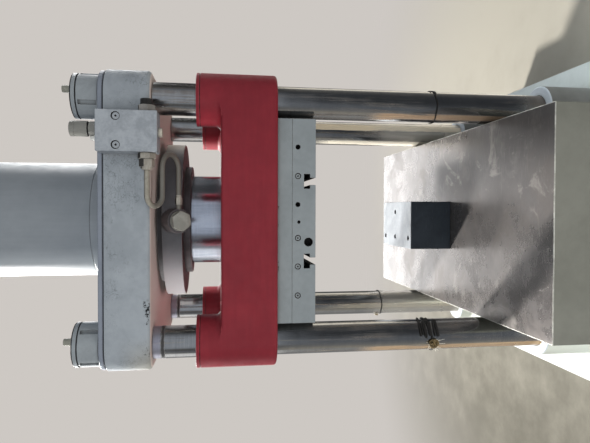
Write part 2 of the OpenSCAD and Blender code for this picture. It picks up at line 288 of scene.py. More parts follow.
def cutBy(piece, cutter, operation="DIFFERENCE"):
    # Takes the cutter's shape out of the piece, or joins it on
    mesh = bpy.data.meshes.new("cutter")
    bmesh.ops.recalc_face_normals(cutter, faces=cutter.faces)
    cutter.to_mesh(mesh)
    cutter.free()
    tool = bpy.data.objects.new("cutter", mesh)
    scene.collection.objects.link(tool)
    taking = piece.modifiers.new("holes", "BOOLEAN")
    taking.operation = operation
    taking.solver = "EXACT"
    taking.object = tool
    bakeModifiers(piece)
    bpy.data.objects.remove(tool)


def finishPiece(name, bm, finishes, body, nodes=(), cutter=None, smooth=32, joined=None):
    mesh = bpy.data.meshes.new(name)
    if cutter is None or joined is not None:
        bmesh.ops.recalc_face_normals(bm, faces=bm.faces)
    bm.to_mesh(mesh)
    bm.free()
    for finish in finishes:
        mesh.materials.append(finish)
    piece = bpy.data.objects.new(name, mesh)
    scene.collection.objects.link(piece)
    if joined is not None:
        cutBy(piece, joined, "UNION")
    if cutter is not None:
        cutBy(piece, cutter)
    piece.data.shade_smooth()
    piece.data.set_sharp_from_angle(angle=math.radians(smooth))
    evening = piece.modifiers.new("evenNormals", "WEIGHTED_NORMAL")
    evening.keep_sharp = True
    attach(piece, body)
    if nodes:
        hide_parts(*nodes)
    return piece


# Shader helpers

def addNode(tree, kind, inputs=None, **settings):
    made = tree.nodes.new("ShaderNode" + kind)
    for name, value in settings.items():
        setattr(made, name, value)
    for name, value in (inputs or {}).items():
        if isinstance(value, bpy.types.NodeSocket):
            tree.links.new(value, made.inputs[name])
        else:
            made.inputs[name].default_value = value
    return made


def maths(tree, operation, first, second, clamp=False):
    return addNode(tree, "Math", {0: first, 1: second}, operation=operation, use_clamp=clamp).outputs[0]


def times(tree, first, second, clamp=False):
    return maths(tree, "MULTIPLY", first, second, clamp)


def plus(tree, first, second):
    return maths(tree, "ADD", first, second)


def minus(tree, first, second):
    return maths(tree, "SUBTRACT", first, second)


def spread(tree, value, fromLow, fromHigh, toLow=0.0, toHigh=1.0):
    # Maps a value from one span to another, with soft ends
    names = {"Value": value, "From Min": fromLow, "From Max": fromHigh, "To Min": toLow, "To Max": toHigh}
    return addNode(tree, "MapRange", names, interpolation_type="SMOOTHSTEP").outputs[0]


def mixed(tree, factor, first, second):
    return addNode(tree, "Mix", {0: factor, 6: first, 7: second}, data_type="RGBA").outputs[2]


def noise(tree, where, scale, detail=4.0, roughness=0.55, warp=0.0):
    names = {"Vector": where, "Scale": scale, "Detail": detail, "Roughness": roughness,
             "Distortion": warp}
    return addNode(tree, "TexNoise", names).outputs[0]


def stretched(tree, where, scale, turn=(0.0, 0.0, 0.0)):
    return addNode(tree, "Mapping", {"Vector": where, "Scale": scale, "Rotation": turn}).outputs[0]


def newGroup(name, inputs, outputs):
    group = bpy.data.node_groups.new(name, "ShaderNodeTree")
    kinds = {1: "NodeSocketFloat", 3: "NodeSocketVector", 4: "NodeSocketColor"}
    for socketName, value in inputs.items():
        size = len(value) if isinstance(value, tuple) else 1
        group.interface.new_socket(name=socketName, in_out="INPUT",
                                   socket_type=kinds[size]).default_value = value
    for socketName in outputs:
        size = 4 if socketName == "Color" else 1
        group.interface.new_socket(name=socketName, in_out="OUTPUT", socket_type=kinds[size])
    start = group.nodes.new("NodeGroupInput").outputs
    end = group.nodes.new("NodeGroupOutput").inputs
    where = addNode(group, "TexCoord").outputs["Object"]
    return group, start, end, where


def buildWornEdges():
    # Where an edge is rubbed: the bevelled normal leaves the true one, broken up by noise
    group, start, end, where = newGroup("wornEdges", {"Radius": 0.003, "Amount": 0.5, "Grain": 60.0},
                                        ["Mask"])
    bent = addNode(group, "Bevel", {"Radius": start["Radius"]}, samples=6).outputs[0]
    straight = addNode(group, "NewGeometry").outputs["Normal"]
    alike = addNode(group, "VectorMath", {0: bent, 1: straight}, operation="DOT_PRODUCT").outputs["Value"]
    edge = spread(group, alike, 0.995, 0.86)
    broken = noise(group, where, start["Grain"], 6, 0.7)
    limit = minus(group, 1.0, start["Amount"])
    cut = minus(group, plus(group, broken, times(group, edge, 0.45)), times(group, limit, 0.6))
    group.links.new(times(group, edge, spread(group, cut, 0.42, 0.55)), end["Mask"])


def buildCornerDirtAndShade():
    # Dirt and painted shade: a darker tone where ambient occlusion finds corners, hollows and gaps, broken
    # up by noise
    group, start, end, where = newGroup("cornerDirtAndShade", {"Distance": 0.03, "Amount": 0.6, "Grain": 14.0},
                                        ["Mask"])
    around = addNode(group, "AmbientOcclusion", {"Distance": start["Distance"]}, samples=8,
                     only_local=False)
    closed = spread(group, around.outputs["AO"], 0.95, 0.35)
    patchy = spread(group, noise(group, where, start["Grain"], 5, 0.65), 0.3, 0.7, 0.45, 1.0)
    group.links.new(times(group, times(group, closed, patchy), start["Amount"], True), end["Mask"])


def buildMottle():
    # Slow changes of tone over a painted or cast face
    group, start, end, where = newGroup("mottle",
                                        {"Light": (0.5, 0.5, 0.5, 1), "Dark": (0.3, 0.3, 0.3, 1),
                                         "Scale": 6.0, "Contrast": 1.0}, ["Color"])
    cloud = noise(group, where, start["Scale"], 5, 0.6, 0.6)
    fine = noise(group, where, times(group, start["Scale"], 7.0), 4, 0.6)
    both = plus(group, times(group, cloud, 0.7), times(group, fine, 0.3))
    centred = times(group, minus(group, both, 0.5), start["Contrast"])
    mask = spread(group, plus(group, centred, 0.5), 0.3, 0.7)
    group.links.new(mixed(group, mask, start["Dark"], start["Light"]), end["Color"])


def buildCrackedPaint():
    # Short crooked cracks in a thick coat, with a finer net between them
    group, start, end, where = newGroup("crackedPaint", {"Scale": 30.0, "Width": 0.05, "Cover": 0.5},
                                        ["Cracks", "Height"])
    bend = addNode(group, "TexNoise",
                   {"Vector": where, "Scale": times(group, start["Scale"], 0.9),
                    "Detail": 4.0}).outputs["Color"]
    bent = addNode(group, "VectorMath", {0: bend, 1: (0.5, 0.5, 0.5)}, operation="SUBTRACT").outputs[0]
    bent = addNode(group, "VectorMath", {0: bent, "Scale": 0.05}, operation="SCALE").outputs[0]
    bent = addNode(group, "VectorMath", {0: where, 1: bent}, operation="ADD").outputs[0]
    flat = stretched(group, bent, (0.5, 1.0, 1.5))
    lines = []
    for factor in (1.0, 2.6):
        cell = addNode(group, "TexVoronoi",
                       {"Vector": flat, "Scale": times(group, start["Scale"], factor)},
                       feature="DISTANCE_TO_EDGE").outputs["Distance"]
        line = addNode(group, "MapRange",
                       {"Value": cell, "From Min": start["Width"], "From Max": 0.0}).outputs[0]
        patch = noise(group, where, 9.0 * factor, 4, 0.6)
        patch = spread(group, plus(group, patch, minus(group, start["Cover"], 0.5)), 0.5, 0.58)
        lines.append(times(group, line, patch))
    both = maths(group, "MAXIMUM", lines[0], times(group, lines[1], 0.6))
    group.links.new(both, end["Cracks"])
    pillow = noise(group, flat, times(group, start["Scale"], 1.6), 3, 0.5)
    group.links.new(minus(group, times(group, pillow, 0.5), both), end["Height"])


def buildCastSkin():
    # The uneven skin of filler and thick paint on a casting
    group, start, end, where = newGroup("castSkin", {"Scale": 40.0, "Grit": 0.3}, ["Height"])
    waves = noise(group, where, times(group, start["Scale"], 0.2), 3, 0.5)
    lumps = noise(group, where, start["Scale"], 5, 0.6)
    grit = noise(group, where, times(group, start["Scale"], 9.0), 3, 0.6)
    height = plus(group, waves, times(group, lumps, 0.35))
    group.links.new(plus(group, height, times(group, grit, start["Grit"])), end["Height"])


def buildToolMarks():
    # Fine lines left by turning, planing or wiping, drawn out along one direction
    group, start, end, where = newGroup("toolMarks",
                                        {"Stretch": (1.0, 1.0, 60.0), "Scale": 20.0, "Low": 0.35,
                                         "High": 0.65}, ["Mask"])
    lines = addNode(group, "VectorMath", {0: where, 1: start["Stretch"]}, operation="MULTIPLY").outputs[0]
    value = noise(group, lines, start["Scale"], 5, 0.65)
    group.links.new(spread(group, value, start["Low"], start["High"]), end["Mask"])


def buildScratches():
    # Thin scratches that lie in a few directions
    group, start, end, where = newGroup("scratches", {"Scale": 10.0, "Amount": 0.5}, ["Mask"])
    total = None
    for turn, shift in ((0.35, 0.0), (1.9, 3.1), (-0.6, 7.7), (1.3, 12.3)):
        lines = stretched(group, where, (1.0, 22.0, 22.0), (0.0, 0.0, turn))
        lines = addNode(group, "VectorMath", {0: lines, 1: (shift, shift, shift)},
                        operation="ADD").outputs[0]
        value = noise(group, lines, start["Scale"], 2, 0.4)
        limit = minus(group, 0.74, times(group, start["Amount"], 0.12))
        line = spread(group, minus(group, value, limit), 0.0, 0.03)
        total = line if total is None else maths(group, "MAXIMUM", total, line)
    group.links.new(total, end["Mask"])


def buildChips():
    # Small hard-edged spots where the coat is gone
    group, start, end, where = newGroup("chips", {"Scale": 25.0, "Amount": 0.3}, ["Mask"])
    value = noise(group, where, start["Scale"], 8, 0.7)
    large = noise(group, where, times(group, start["Scale"], 0.22), 2, 0.5)
    both = plus(group, times(group, value, 0.65), times(group, large, 0.35))
    limit = minus(group, 0.74, times(group, start["Amount"], 0.2))
    group.links.new(spread(group, minus(group, both, limit), 0.0, 0.02), end["Mask"])


for build in (buildWornEdges, buildCornerDirtAndShade, buildMottle, buildCrackedPaint, buildCastSkin,
              buildToolMarks,
              buildScratches, buildChips):
    build()
print("surface effects built")


def useGroup(tree, name, **inputs):
    made = tree.nodes.new("ShaderNodeGroup")
    made.node_tree = bpy.data.node_groups[name]
    for key, value in inputs.items():
        if isinstance(value, bpy.types.NodeSocket):
            tree.links.new(value, made.inputs[key])
        else:
            made.inputs[key].default_value = value
    return made.outputs


def maskOf(tree, name, **inputs):
    return useGroup(tree, name, **inputs)["Mask"]


def newFinish(name, **shader):
    finish = bpy.data.materials.new(name)
    finish.use_nodes = True
    tree = finish.node_tree
    body = tree.nodes["Principled BSDF"]
    for key, value in shader.items():
        body.inputs[key.replace("_", " ")].default_value = value
    return finish, tree, body


def setColour(tree, body, colour):
    tree.links.new(colour, body.inputs["Base Color"])


def setRough(tree, body, value):
    tree.links.new(value, body.inputs["Roughness"])


def setBump(tree, body, height, distance):
    bump = addNode(tree, "Bump", {"Height": height, "Distance": distance, "Strength": 1.0})
    tree.links.new(bump.outputs[0], body.inputs["Normal"])


def objectPlace(tree):
    return addNode(tree, "TexCoord").outputs["Object"]


def axesOf(tree, where):
    # The three parts of a place or a direction, by the names X, Y and Z
    return addNode(tree, "SeparateXYZ", {0: where}).outputs


# Finishes. A finish is built up in layers: colour, roughness, metal and height, then covers on top

def startLayers(tree, look):
    where = objectPlace(tree)
    base = useGroup(tree, "mottle", Light=tone(*look["light"]), Dark=tone(*look["dark"]),
                    Scale=look["cloud"], Contrast=look.get("contrast", 1.0))["Color"]
    vary = look.get("roughVary", 0.06)
    grain = noise(tree, where, look.get("roughScale", 30.0), 5, 0.6)
    rough = spread(tree, grain, 0.3, 0.7, look["rough"] - vary, look["rough"] + vary)
    return {"where": where, "colour": base, "rough": rough, "metal": look.get("metal", 0.0),
            "height": None}


def blendValue(tree, mask, below, above):
    return addNode(tree, "Mix", {0: mask, 2: below, 3: above}, data_type="FLOAT").outputs[0]


def cover(tree, layers, mask, colour=None, rough=None, metal=None, depth=0.0):
    if colour is not None:
        colour = tone(*colour) if isinstance(colour, tuple) else colour
        layers["colour"] = mixed(tree, mask, layers["colour"], colour)
    if rough is not None:
        layers["rough"] = blendValue(tree, mask, layers["rough"], rough)
    if metal is not None:
        layers["metal"] = blendValue(tree, mask, layers["metal"], metal)
    if depth:
        lift(tree, layers, mask, depth)


def lift(tree, layers, value, amount):
    # Heights are in millimetres
    step = times(tree, value, amount)
    layers["height"] = step if layers["height"] is None else plus(tree, layers["height"], step)


def closeLayers(tree, body, layers):
    setColour(tree, body, layers["colour"])
    setRough(tree, body, layers["rough"])
    if isinstance(layers["metal"], bpy.types.NodeSocket):
        tree.links.new(layers["metal"], body.inputs["Metallic"])
    else:
        body.inputs["Metallic"].default_value = layers["metal"]
    if layers["height"] is not None:
        setBump(tree, body, layers["height"], 0.001)


def addSkin(tree, layers, look):
    skin = useGroup(tree, "castSkin", Scale=look["skinScale"], Grit=look.get("grit", 0.3))["Height"]
    lift(tree, layers, skin, look["skin"])


def addDirtAndShade(tree, layers, look):
    # Covers corners and hollows with the darker tone: dirt and painted shade
    dirtAndShade = maskOf(tree, "cornerDirtAndShade", Distance=look["dirtAndShadeReach"], Amount=look["dirtAndShade"])
    cover(tree, layers, dirtAndShade, look["dirtAndShadeTone"], 0.75)


def addWear(tree, layers, look):
    grain = look.get("wearGrain", 60.0)
    wearAndShade = maskOf(tree, "wornEdges", Radius=look["wearReach"], Amount=look["wear"], Grain=grain)
    cover(tree, layers, wearAndShade, look["wearTone"], 0.45, look.get("wearMetal"), -0.15)


def addChips(tree, layers, look):
    chips = maskOf(tree, "chips", Scale=look["chipScale"], Amount=look["chips"])
    cover(tree, layers, chips, look["chipTone"], 0.6, None, -0.25)


def paintFinish(name, look, extra=None):
    finish, tree, body = newFinish(name, Coat_Weight=look.get("coat", 0.0), Coat_Roughness=0.25,
                                   Specular_IOR_Level=look.get("shine", 0.3))
    layers = startLayers(tree, look)
    if "skin" in look:
        addSkin(tree, layers, look)
    if extra is not None:
        extra(tree, layers)
    if "chips" in look:
        addChips(tree, layers, look)
    if "wear" in look:
        addWear(tree, layers, look)
    if "dirtAndShade" in look:
        addDirtAndShade(tree, layers, look)
    closeLayers(tree, body, layers)
    return finish


cylinderLook = {"light": (130, 136, 141), "dark": (120, 126, 131), "cloud": 3.0, "rough": 0.42,
                "coat": 0.06, "skin": 0.10, "skinScale": 90.0, "grit": 0.15, "chipScale": 22.0,
                "chips": 0.1, "chipTone": (166, 172, 175), "dirtAndShade": 0.5, "dirtAndShadeReach": 0.02,
                "dirtAndShadeTone": (66, 66, 64)}


def brushedOn(tree, layers):
    # Faint upright strokes of the brush
    strokes = maskOf(tree, "toolMarks", Stretch=(1.0, 1.0, 0.06), Scale=70.0, Low=0.3, High=0.7)
    lift(tree, layers, strokes, 0.07)
    cover(tree, layers, times(tree, strokes, 0.2), (108, 115, 121))


cylinderPaint = paintFinish("cylinderPaint", cylinderLook, brushedOn)


def within(tree, value, low, high, soft):
    # 1 between two limits, with soft ends
    rise = spread(tree, value, low - soft, low + soft)
    return times(tree, rise, spread(tree, value, high + soft, high - soft))


def allOf(tree, *masks):
    total = masks[0]
    for mask in masks[1:]:
        total = times(tree, total, mask)
    return total


def facingDown(tree, start, end):
    normal = axesOf(tree, addNode(tree, "NewGeometry").outputs["Normal"])
    return spread(tree, normal["Z"], -start, -end)


crownLook = {"light": (144, 151, 157), "dark": (130, 137, 143), "cloud": 7.0, "rough": 0.5,
             "contrast": 1.3, "skin": 0.32, "skinScale": 45.0, "grit": 0.5, "roughVary": 0.1,
             "shine": 0.28, "chipScale": 16.0, "chips": 0.12, "chipTone": (170, 176, 176), "wear": 0.4,
             "wearReach": 0.003, "wearTone": (176, 182, 183), "dirtAndShade": 0.6, "dirtAndShadeReach": 0.03,
             "dirtAndShadeTone": (78, 74, 70)}
# Where the crown's coat differs, in X or Z, and how; the warm patch and the underside tone are painted
# light
crownMarks = {"crackZ": (1.85, 1.95), "crackCover": (0.42, 0.50), "crackTone": (82, 88, 92),
              "under": (208, 194, 188), "warmLightTone": (142, 138, 126), "warmLightX": (-0.33, -0.44),
              "warmLightZ": (1.92, 1.83), "chipTone": (22, 22, 24), "chipX": (-0.40, -0.235),
              "chipZ": (1.818, 1.836)}


def crackledCoat(tree, layers):
    at = axesOf(tree, layers["where"])
    thick = spread(tree, at["Z"], *crownMarks["crackZ"], *crownMarks["crackCover"])
    cracks = useGroup(tree, "crackedPaint", Scale=58.0, Width=0.045, Cover=thick)
    lift(tree, layers, cracks["Height"], 0.22)
    cover(tree, layers, times(tree, cracks["Cracks"], 0.75), crownMarks["crackTone"], 0.8)
    # Painted warm light on the left, low down
    warmLight = allOf(tree, spread(tree, at["X"], *crownMarks["warmLightX"]),
                 spread(tree, at["Z"], *crownMarks["warmLightZ"]))
    cover(tree, layers, times(tree, warmLight, 0.6), crownMarks["warmLightTone"])
    chips = maskOf(tree, "chips", Scale=100.0, Amount=1.0)
    place = allOf(tree, chips, within(tree, at["X"], *crownMarks["chipX"], 0.01),
                  within(tree, at["Z"], *crownMarks["chipZ"], 0.003))
    cover(tree, layers, place, crownMarks["chipTone"], 0.8, None, -0.3)
    # Painted reflection: the underside is paler and pinker, as lit by the red casting below it
    cover(tree, layers, times(tree, facingDown(tree, 0.8, 0.97), 0.9), crownMarks["under"], 0.6)


crownPaint = paintFinish("crownPaint", crownLook, crackledCoat)

stripLook = {"light": (122, 129, 140), "dark": (111, 118, 129), "cloud": 9.0, "rough": 0.45, "skin": 0.1,
             "skinScale": 70.0, "chipScale": 30.0, "chips": 0.2, "chipTone": (168, 174, 180),
             "wear": 0.35, "wearReach": 0.0025, "wearTone": (66, 68, 72), "dirtAndShade": 0.6, "dirtAndShadeReach": 0.012,
             "dirtAndShadeTone": (60, 60, 62)}
stripPaint = paintFinish("stripPaint", stripLook)

nutLook = {"light": (136, 143, 147), "dark": (122, 128, 132), "cloud": 14.0, "rough": 0.42, "coat": 0.05,
           "skin": 0.12, "skinScale": 110.0, "chipScale": 45.0, "chips": 0.2, "chipTone": (160, 165, 168),
           "wear": 0.45, "wearReach": 0.0015, "wearTone": (160, 165, 168), "dirtAndShade": 0.8,
           "dirtAndShadeReach": 0.010, "dirtAndShadeTone": (52, 51, 49)}
nutPaint = paintFinish("nutPaint", nutLook)

stubLook = {"light": (140, 140, 130), "dark": (122, 121, 111), "cloud": 60.0, "rough": 0.5, "shine": 0.3,
            "skin": 0.06, "skinScale": 160.0, "wear": 0.5, "wearReach": 0.001,
            "wearTone": (176, 176, 168), "dirtAndShade": 0.7, "dirtAndShadeReach": 0.006, "dirtAndShadeTone": (60, 58, 52)}
stubPaint = paintFinish("stubPaint", stubLook)

valveLook = {"light": (148, 154, 160), "dark": (128, 134, 140), "cloud": 22.0, "rough": 0.46,
             "contrast": 1.4, "skin": 0.2, "skinScale": 120.0, "grit": 0.5, "chipScale": 80.0,
             "chips": 0.42, "chipTone": (84, 86, 88), "wear": 0.6, "wearReach": 0.0022,
             "wearTone": (186, 192, 195), "dirtAndShade": 0.6, "dirtAndShadeReach": 0.015, "dirtAndShadeTone": (72, 70, 66)}


def smallCracks(tree, layers):
    cracks = useGroup(tree, "crackedPaint", Scale=70.0, Width=0.045, Cover=0.37)
    lift(tree, layers, cracks["Height"], 0.2)
    cover(tree, layers, times(tree, cracks["Cracks"], 0.75), (84, 88, 92), 0.8)


valvePaint = paintFinish("valvePaint", valveLook, smallCracks)

beigeLook = {"light": (184, 181, 170), "dark": (160, 157, 147), "cloud": 60.0, "rough": 0.5, "shine": 0.3,
             "wear": 0.4, "wearReach": 0.0015, "wearTone": (206, 204, 196), "dirtAndShade": 0.6,
             "dirtAndShadeReach": 0.008, "dirtAndShadeTone": (78, 74, 66)}
beigePaint = paintFinish("beigePaint", beigeLook)

platenLook = {"light": (129, 136, 139), "dark": (117, 124, 127), "cloud": 8.0, "rough": 0.46,
              "skin": 0.12, "skinScale": 80.0, "wear": 0.3, "wearReach": 0.0025,
              "wearTone": (100, 86, 74), "wearGrain": 90.0, "dirtAndShade": 0.6, "dirtAndShadeReach": 0.02,
              "dirtAndShadeTone": (74, 70, 64)}
rustMarks = {"tone": (104, 76, 56), "dark": (58, 48, 42), "edgeX": (-0.15, 0.235),
             "edgeZ": (1.4305, 1.4395)}


def rustPits(tree, layers):
    # Rust eats in from the edges of the plates, most of all from the upper edge of the spacer
    at = axesOf(tree, layers["where"])
    pits = maskOf(tree, "chips", Scale=85.0, Amount=0.4)
    edge = maskOf(tree, "wornEdges", Radius=0.010, Amount=0.8, Grain=30.0)
    rusted = times(tree, pits, plus(tree, edge, 0.15), True)
    cover(tree, layers, rusted, rustMarks["tone"], 0.8, None, -0.3)
    eaten = maskOf(tree, "chips", Scale=48.0, Amount=1.0)
    band = allOf(tree, eaten, within(tree, at["X"], *rustMarks["edgeX"], 0.02),
                 within(tree, at["Z"], *rustMarks["edgeZ"], 0.002))
    cover(tree, layers, band, rustMarks["dark"], 0.85, None, -0.4)


platenPaint = paintFinish("platenPaint", platenLook, rustPits)

redLook = {"light": (124, 34, 44), "dark": (110, 28, 38), "cloud": 5.0, "rough": 0.48, "coat": 0.04,
           "skin": 0.32, "skinScale": 34.0, "grit": 0.3, "roughVary": 0.08, "shine": 0.3,
           "chipScale": 150.0, "chips": 0.22, "chipTone": (52, 18, 24), "wear": 0.4, "wearReach": 0.003,
           "wearTone": (168, 86, 88), "dirtAndShade": 0.7, "dirtAndShadeReach": 0.03, "dirtAndShadeTone": (48, 22, 24)}


def brushedAcross(tree, layers):
    # Strokes of the brush run across the machine; the coat is rubbed pink in a few places
    strokes = maskOf(tree, "toolMarks", Stretch=(0.07, 1.0, 1.0), Scale=95.0, Low=0.3, High=0.7)
    lift(tree, layers, strokes, 0.06)
    cover(tree, layers, times(tree, strokes, 0.3), (98, 24, 34))
    rubbed = maskOf(tree, "chips", Scale=30.0, Amount=0.45)
    edge = maskOf(tree, "wornEdges", Radius=0.02, Amount=0.9, Grain=24.0)
    cover(tree, layers, times(tree, rubbed, plus(tree, edge, 0.2), True), (166, 84, 88), 0.6)


redPaint = paintFinish("redPaint", redLook, brushedAcross)

# The base tone is darkened: painted shade under the crown
flangeLook = {"light": (84, 85, 89), "dark": (70, 71, 75), "cloud": 6.0, "rough": 0.45, "skin": 0.12,
              "skinScale": 80.0, "chipScale": 30.0, "chips": 0.25, "chipTone": (82, 76, 74), "wear": 0.4,
              "wearReach": 0.0025, "wearTone": (160, 163, 166), "dirtAndShade": 0.6, "dirtAndShadeReach": 0.03,
              "dirtAndShadeTone": (62, 56, 54)}
# Painted light on the paler ends: from where to where in X, the amount, the tone and the roughness
flangeLitEnds = (((-0.06, -0.20), 0.8, (172, 172, 177), 0.4), ((0.20, 0.28), 0.7, (140, 133, 122), 0.5))


def flangePaintedLight(tree, layers):
    # Painted light: both ends are paler, and the underside is reddish as painted reflection of the red
    # crosshead
    x = axesOf(tree, layers["where"])["X"]
    for span, amount, litEndTone, rough in flangeLitEnds:
        cover(tree, layers, times(tree, spread(tree, x, *span), amount), litEndTone, rough)
    cover(tree, layers, times(tree, facingDown(tree, 0.3, 0.9), 0.8), (92, 78, 78), 0.5)


flangePaint = paintFinish("flangePaint", flangeLook, flangePaintedLight)

castingLook = {"light": (114, 115, 112), "dark": (98, 99, 96), "cloud": 5.0, "rough": 0.55, "skin": 0.4,
               "skinScale": 30.0, "grit": 0.4, "chipScale": 12.0, "chips": 0.2, "chipTone": (84, 76, 68),
               "wear": 0.45, "wearReach": 0.004, "wearTone": (170, 174, 172), "dirtAndShade": 0.6,
               "dirtAndShadeReach": 0.04, "dirtAndShadeTone": (80, 76, 70)}
castingLitEnd = {"x": (-0.315, -0.35), "tone": (204, 208, 198)}


def paintedLightLeftEnd(tree, layers):
    # Painted light: the left end is paler, as where light from the left falls
    x = axesOf(tree, layers["where"])["X"]
    cover(tree, layers, spread(tree, x, *castingLitEnd["x"]), castingLitEnd["tone"], 0.55)


castingPaint = paintFinish("castingPaint", castingLook, paintedLightLeftEnd)

bossTopLook = {"light": (190, 198, 204), "dark": (170, 178, 185), "cloud": 12.0, "rough": 0.5,
               "skin": 0.15, "skinScale": 60.0, "chipScale": 25.0, "chips": 0.25,
               "chipTone": (118, 108, 98), "dirtAndShade": 0.8, "dirtAndShadeReach": 0.02, "dirtAndShadeTone": (84, 74, 62)}
bossTopPaint = paintFinish("bossTopPaint", bossTopLook)

baseLook = {"light": (198, 206, 205), "dark": (184, 192, 190), "cloud": 3.0, "rough": 0.55, "skin": 0.2,
            "skinScale": 40.0, "chipScale": 9.0, "chips": 0.2, "chipTone": (130, 120, 108), "wear": 0.5,
            "wearReach": 0.004, "wearTone": (140, 132, 122), "dirtAndShade": 0.6, "dirtAndShadeReach": 0.06,
            "dirtAndShadeTone": (118, 112, 102)}
basePaint = paintFinish("basePaint", baseLook)

tableSideLook = {"light": (106, 107, 100), "dark": (93, 94, 87), "cloud": 4.0, "rough": 0.5, "skin": 0.15,
                 "skinScale": 60.0, "chipScale": 15.0, "chips": 0.25, "chipTone": (80, 77, 70),
                 "wear": 0.7, "wearReach": 0.003, "wearTone": (190, 188, 180), "wearMetal": 0.5,
                 "dirtAndShade": 0.4, "dirtAndShadeReach": 0.03, "dirtAndShadeTone": (70, 66, 60)}
tableSidePaint = paintFinish("tableSidePaint", tableSideLook)
print("paints built")


def metalFinish(name, look, extra=None):
    finish, tree, body = newFinish(name)
    layers = startLayers(tree, look)
    if extra is not None:
        extra(tree, layers)
    if "upFacingDark" in look:
        # Darker on the sides that face up
        normal = axesOf(tree, addNode(tree, "NewGeometry").outputs["Normal"])
        cover(tree, layers, spread(tree, normal["Z"], *look["upFacingDark"]), (44, 42, 39), 0.7, 0.0)
    if "wear" in look:
        addWear(tree, layers, look)
    if "dirtAndShade" in look:
        addDirtAndShade(tree, layers, look)
    closeLayers(tree, body, layers)
    return finish


zincLook = {"light": (166, 162, 152), "dark": (144, 140, 131), "cloud": 40.0, "rough": 0.46, "metal": 0.3,
            "upFacingDark": (0.55, 0.72), "contrast": 1.4, "roughVary": 0.08, "roughScale": 90.0, "wear": 0.6,
            "wearReach": 0.001, "wearTone": (190, 188, 180), "wearGrain": 160.0, "dirtAndShade": 0.7,
            "dirtAndShadeReach": 0.008, "dirtAndShadeTone": (52, 48, 42)}
zincSteel = metalFinish("zincSteel", zincLook)

tubeLook = {"light": (158, 154, 142), "dark": (134, 130, 119), "cloud": 30.0, "rough": 0.4, "metal": 0.3,
            "upFacingDark": (0.62, 0.85), "contrast": 1.3, "roughScale": 60.0, "dirtAndShade": 0.5, "dirtAndShadeReach": 0.008,
            "dirtAndShadeTone": (60, 54, 44)}
tubeLoop = {"z": (1.815, 1.795), "tone": (100, 99, 95), "amount": 0.8}


def darkLoop(tree, layers):
    # Painted shade: the tube is darker and greyer just below the crown
    z = axesOf(tree, layers["where"])["Z"]
    loop = times(tree, spread(tree, z, *tubeLoop["z"]), tubeLoop["amount"])
    cover(tree, layers, loop, tubeLoop["tone"], 0.45)


tubeSteel = metalFinish("tubeSteel", tubeLook, darkLoop)

portLook = {"light": (146, 146, 140), "dark": (128, 128, 122), "cloud": 30.0, "rough": 0.45,
            "metal": 0.25, "contrast": 1.3, "roughScale": 60.0, "wear": 0.5, "wearReach": 0.0012,
            "wearTone": (168, 166, 158), "wearGrain": 160.0, "dirtAndShade": 0.7, "dirtAndShadeReach": 0.012,
            "dirtAndShadeTone": (44, 40, 36)}
portSteel = metalFinish("portSteel", portLook)

darkLook = {"light": (94, 90, 93), "dark": (72, 69, 71), "cloud": 30.0, "rough": 0.45, "metal": 0.4,
            "roughScale": 80.0, "wear": 0.5, "wearReach": 0.0015, "wearTone": (130, 130, 128),
            "dirtAndShade": 0.6, "dirtAndShadeReach": 0.012, "dirtAndShadeTone": (36, 33, 30)}
darkSteel = metalFinish("darkSteel", darkLook)

threadLook = {"light": (60, 60, 60), "dark": (38, 38, 39), "cloud": 60.0, "rough": 0.45, "metal": 0.3,
              "wear": 0.4, "wearReach": 0.0005, "wearTone": (96, 96, 94), "wearGrain": 300.0}
threadSteel = metalFinish("threadSteel", threadLook)

hexLook = {"light": (138, 136, 132), "dark": (118, 116, 112), "cloud": 40.0, "rough": 0.48, "metal": 0.25,
           "upFacingDark": (0.55, 0.72), "wear": 0.5, "wearReach": 0.0012, "wearTone": (158, 156, 152),
           "dirtAndShade": 0.7, "dirtAndShadeReach": 0.008, "dirtAndShadeTone": (48, 46, 42)}
hexSteel = metalFinish("hexSteel", hexLook)

reliefLook = {"light": (130, 130, 125), "dark": (114, 114, 109), "cloud": 30.0, "rough": 0.48,
              "metal": 0.25, "wear": 0.5, "wearReach": 0.0012, "wearTone": (176, 177, 172), "dirtAndShade": 0.6,
              "dirtAndShadeReach": 0.006, "dirtAndShadeTone": (52, 50, 46)}
reliefSteel = metalFinish("reliefSteel", reliefLook)

rodLook = {"light": (214, 219, 228), "dark": (192, 199, 212), "cloud": 3.0, "rough": 0.17, "metal": 1.0,
           "roughScale": 12.0, "roughVary": 0.04}


def rodStreaks(tree, layers):
    # Fine upright grind lines and fine rings across them, and broad duller bands painted darker and bluer
    # as reflection
    fine = maskOf(tree, "toolMarks", Stretch=(1.0, 1.0, 0.02), Scale=160.0, Low=0.4, High=0.6)
    broad = maskOf(tree, "toolMarks", Stretch=(1.0, 1.0, 0.12), Scale=24.0, Low=0.42, High=0.62)
    rings = maskOf(tree, "toolMarks", Stretch=(0.2, 0.2, 20.0), Scale=30.0, Low=0.4, High=0.6)
    cover(tree, layers, times(tree, broad, 0.3), (140, 146, 160), 0.26)
    cover(tree, layers, times(tree, fine, 0.2), (226, 229, 234), 0.22)
    cover(tree, layers, times(tree, rings, 0.16), (120, 124, 134), 0.3)


rodChrome = metalFinish("rodChrome", rodLook, rodStreaks)

columnLook = {"light": (184, 183, 180), "dark": (162, 163, 163), "cloud": 5.0, "rough": 0.15,
              "metal": 1.0, "roughScale": 16.0, "roughVary": 0.04}
# Grime at the foot, then painted reflection and painted shade just under the crown
columnMarks = {"foot": (0.66, 0.54), "footTone": (96, 76, 54), "underCrownReflection": (1.792, 1.83),
               "underCrownReflectionTone": (150, 150, 172), "seam": (1.787, 1.797), "underCrownShadeTone": (24, 24, 26)}
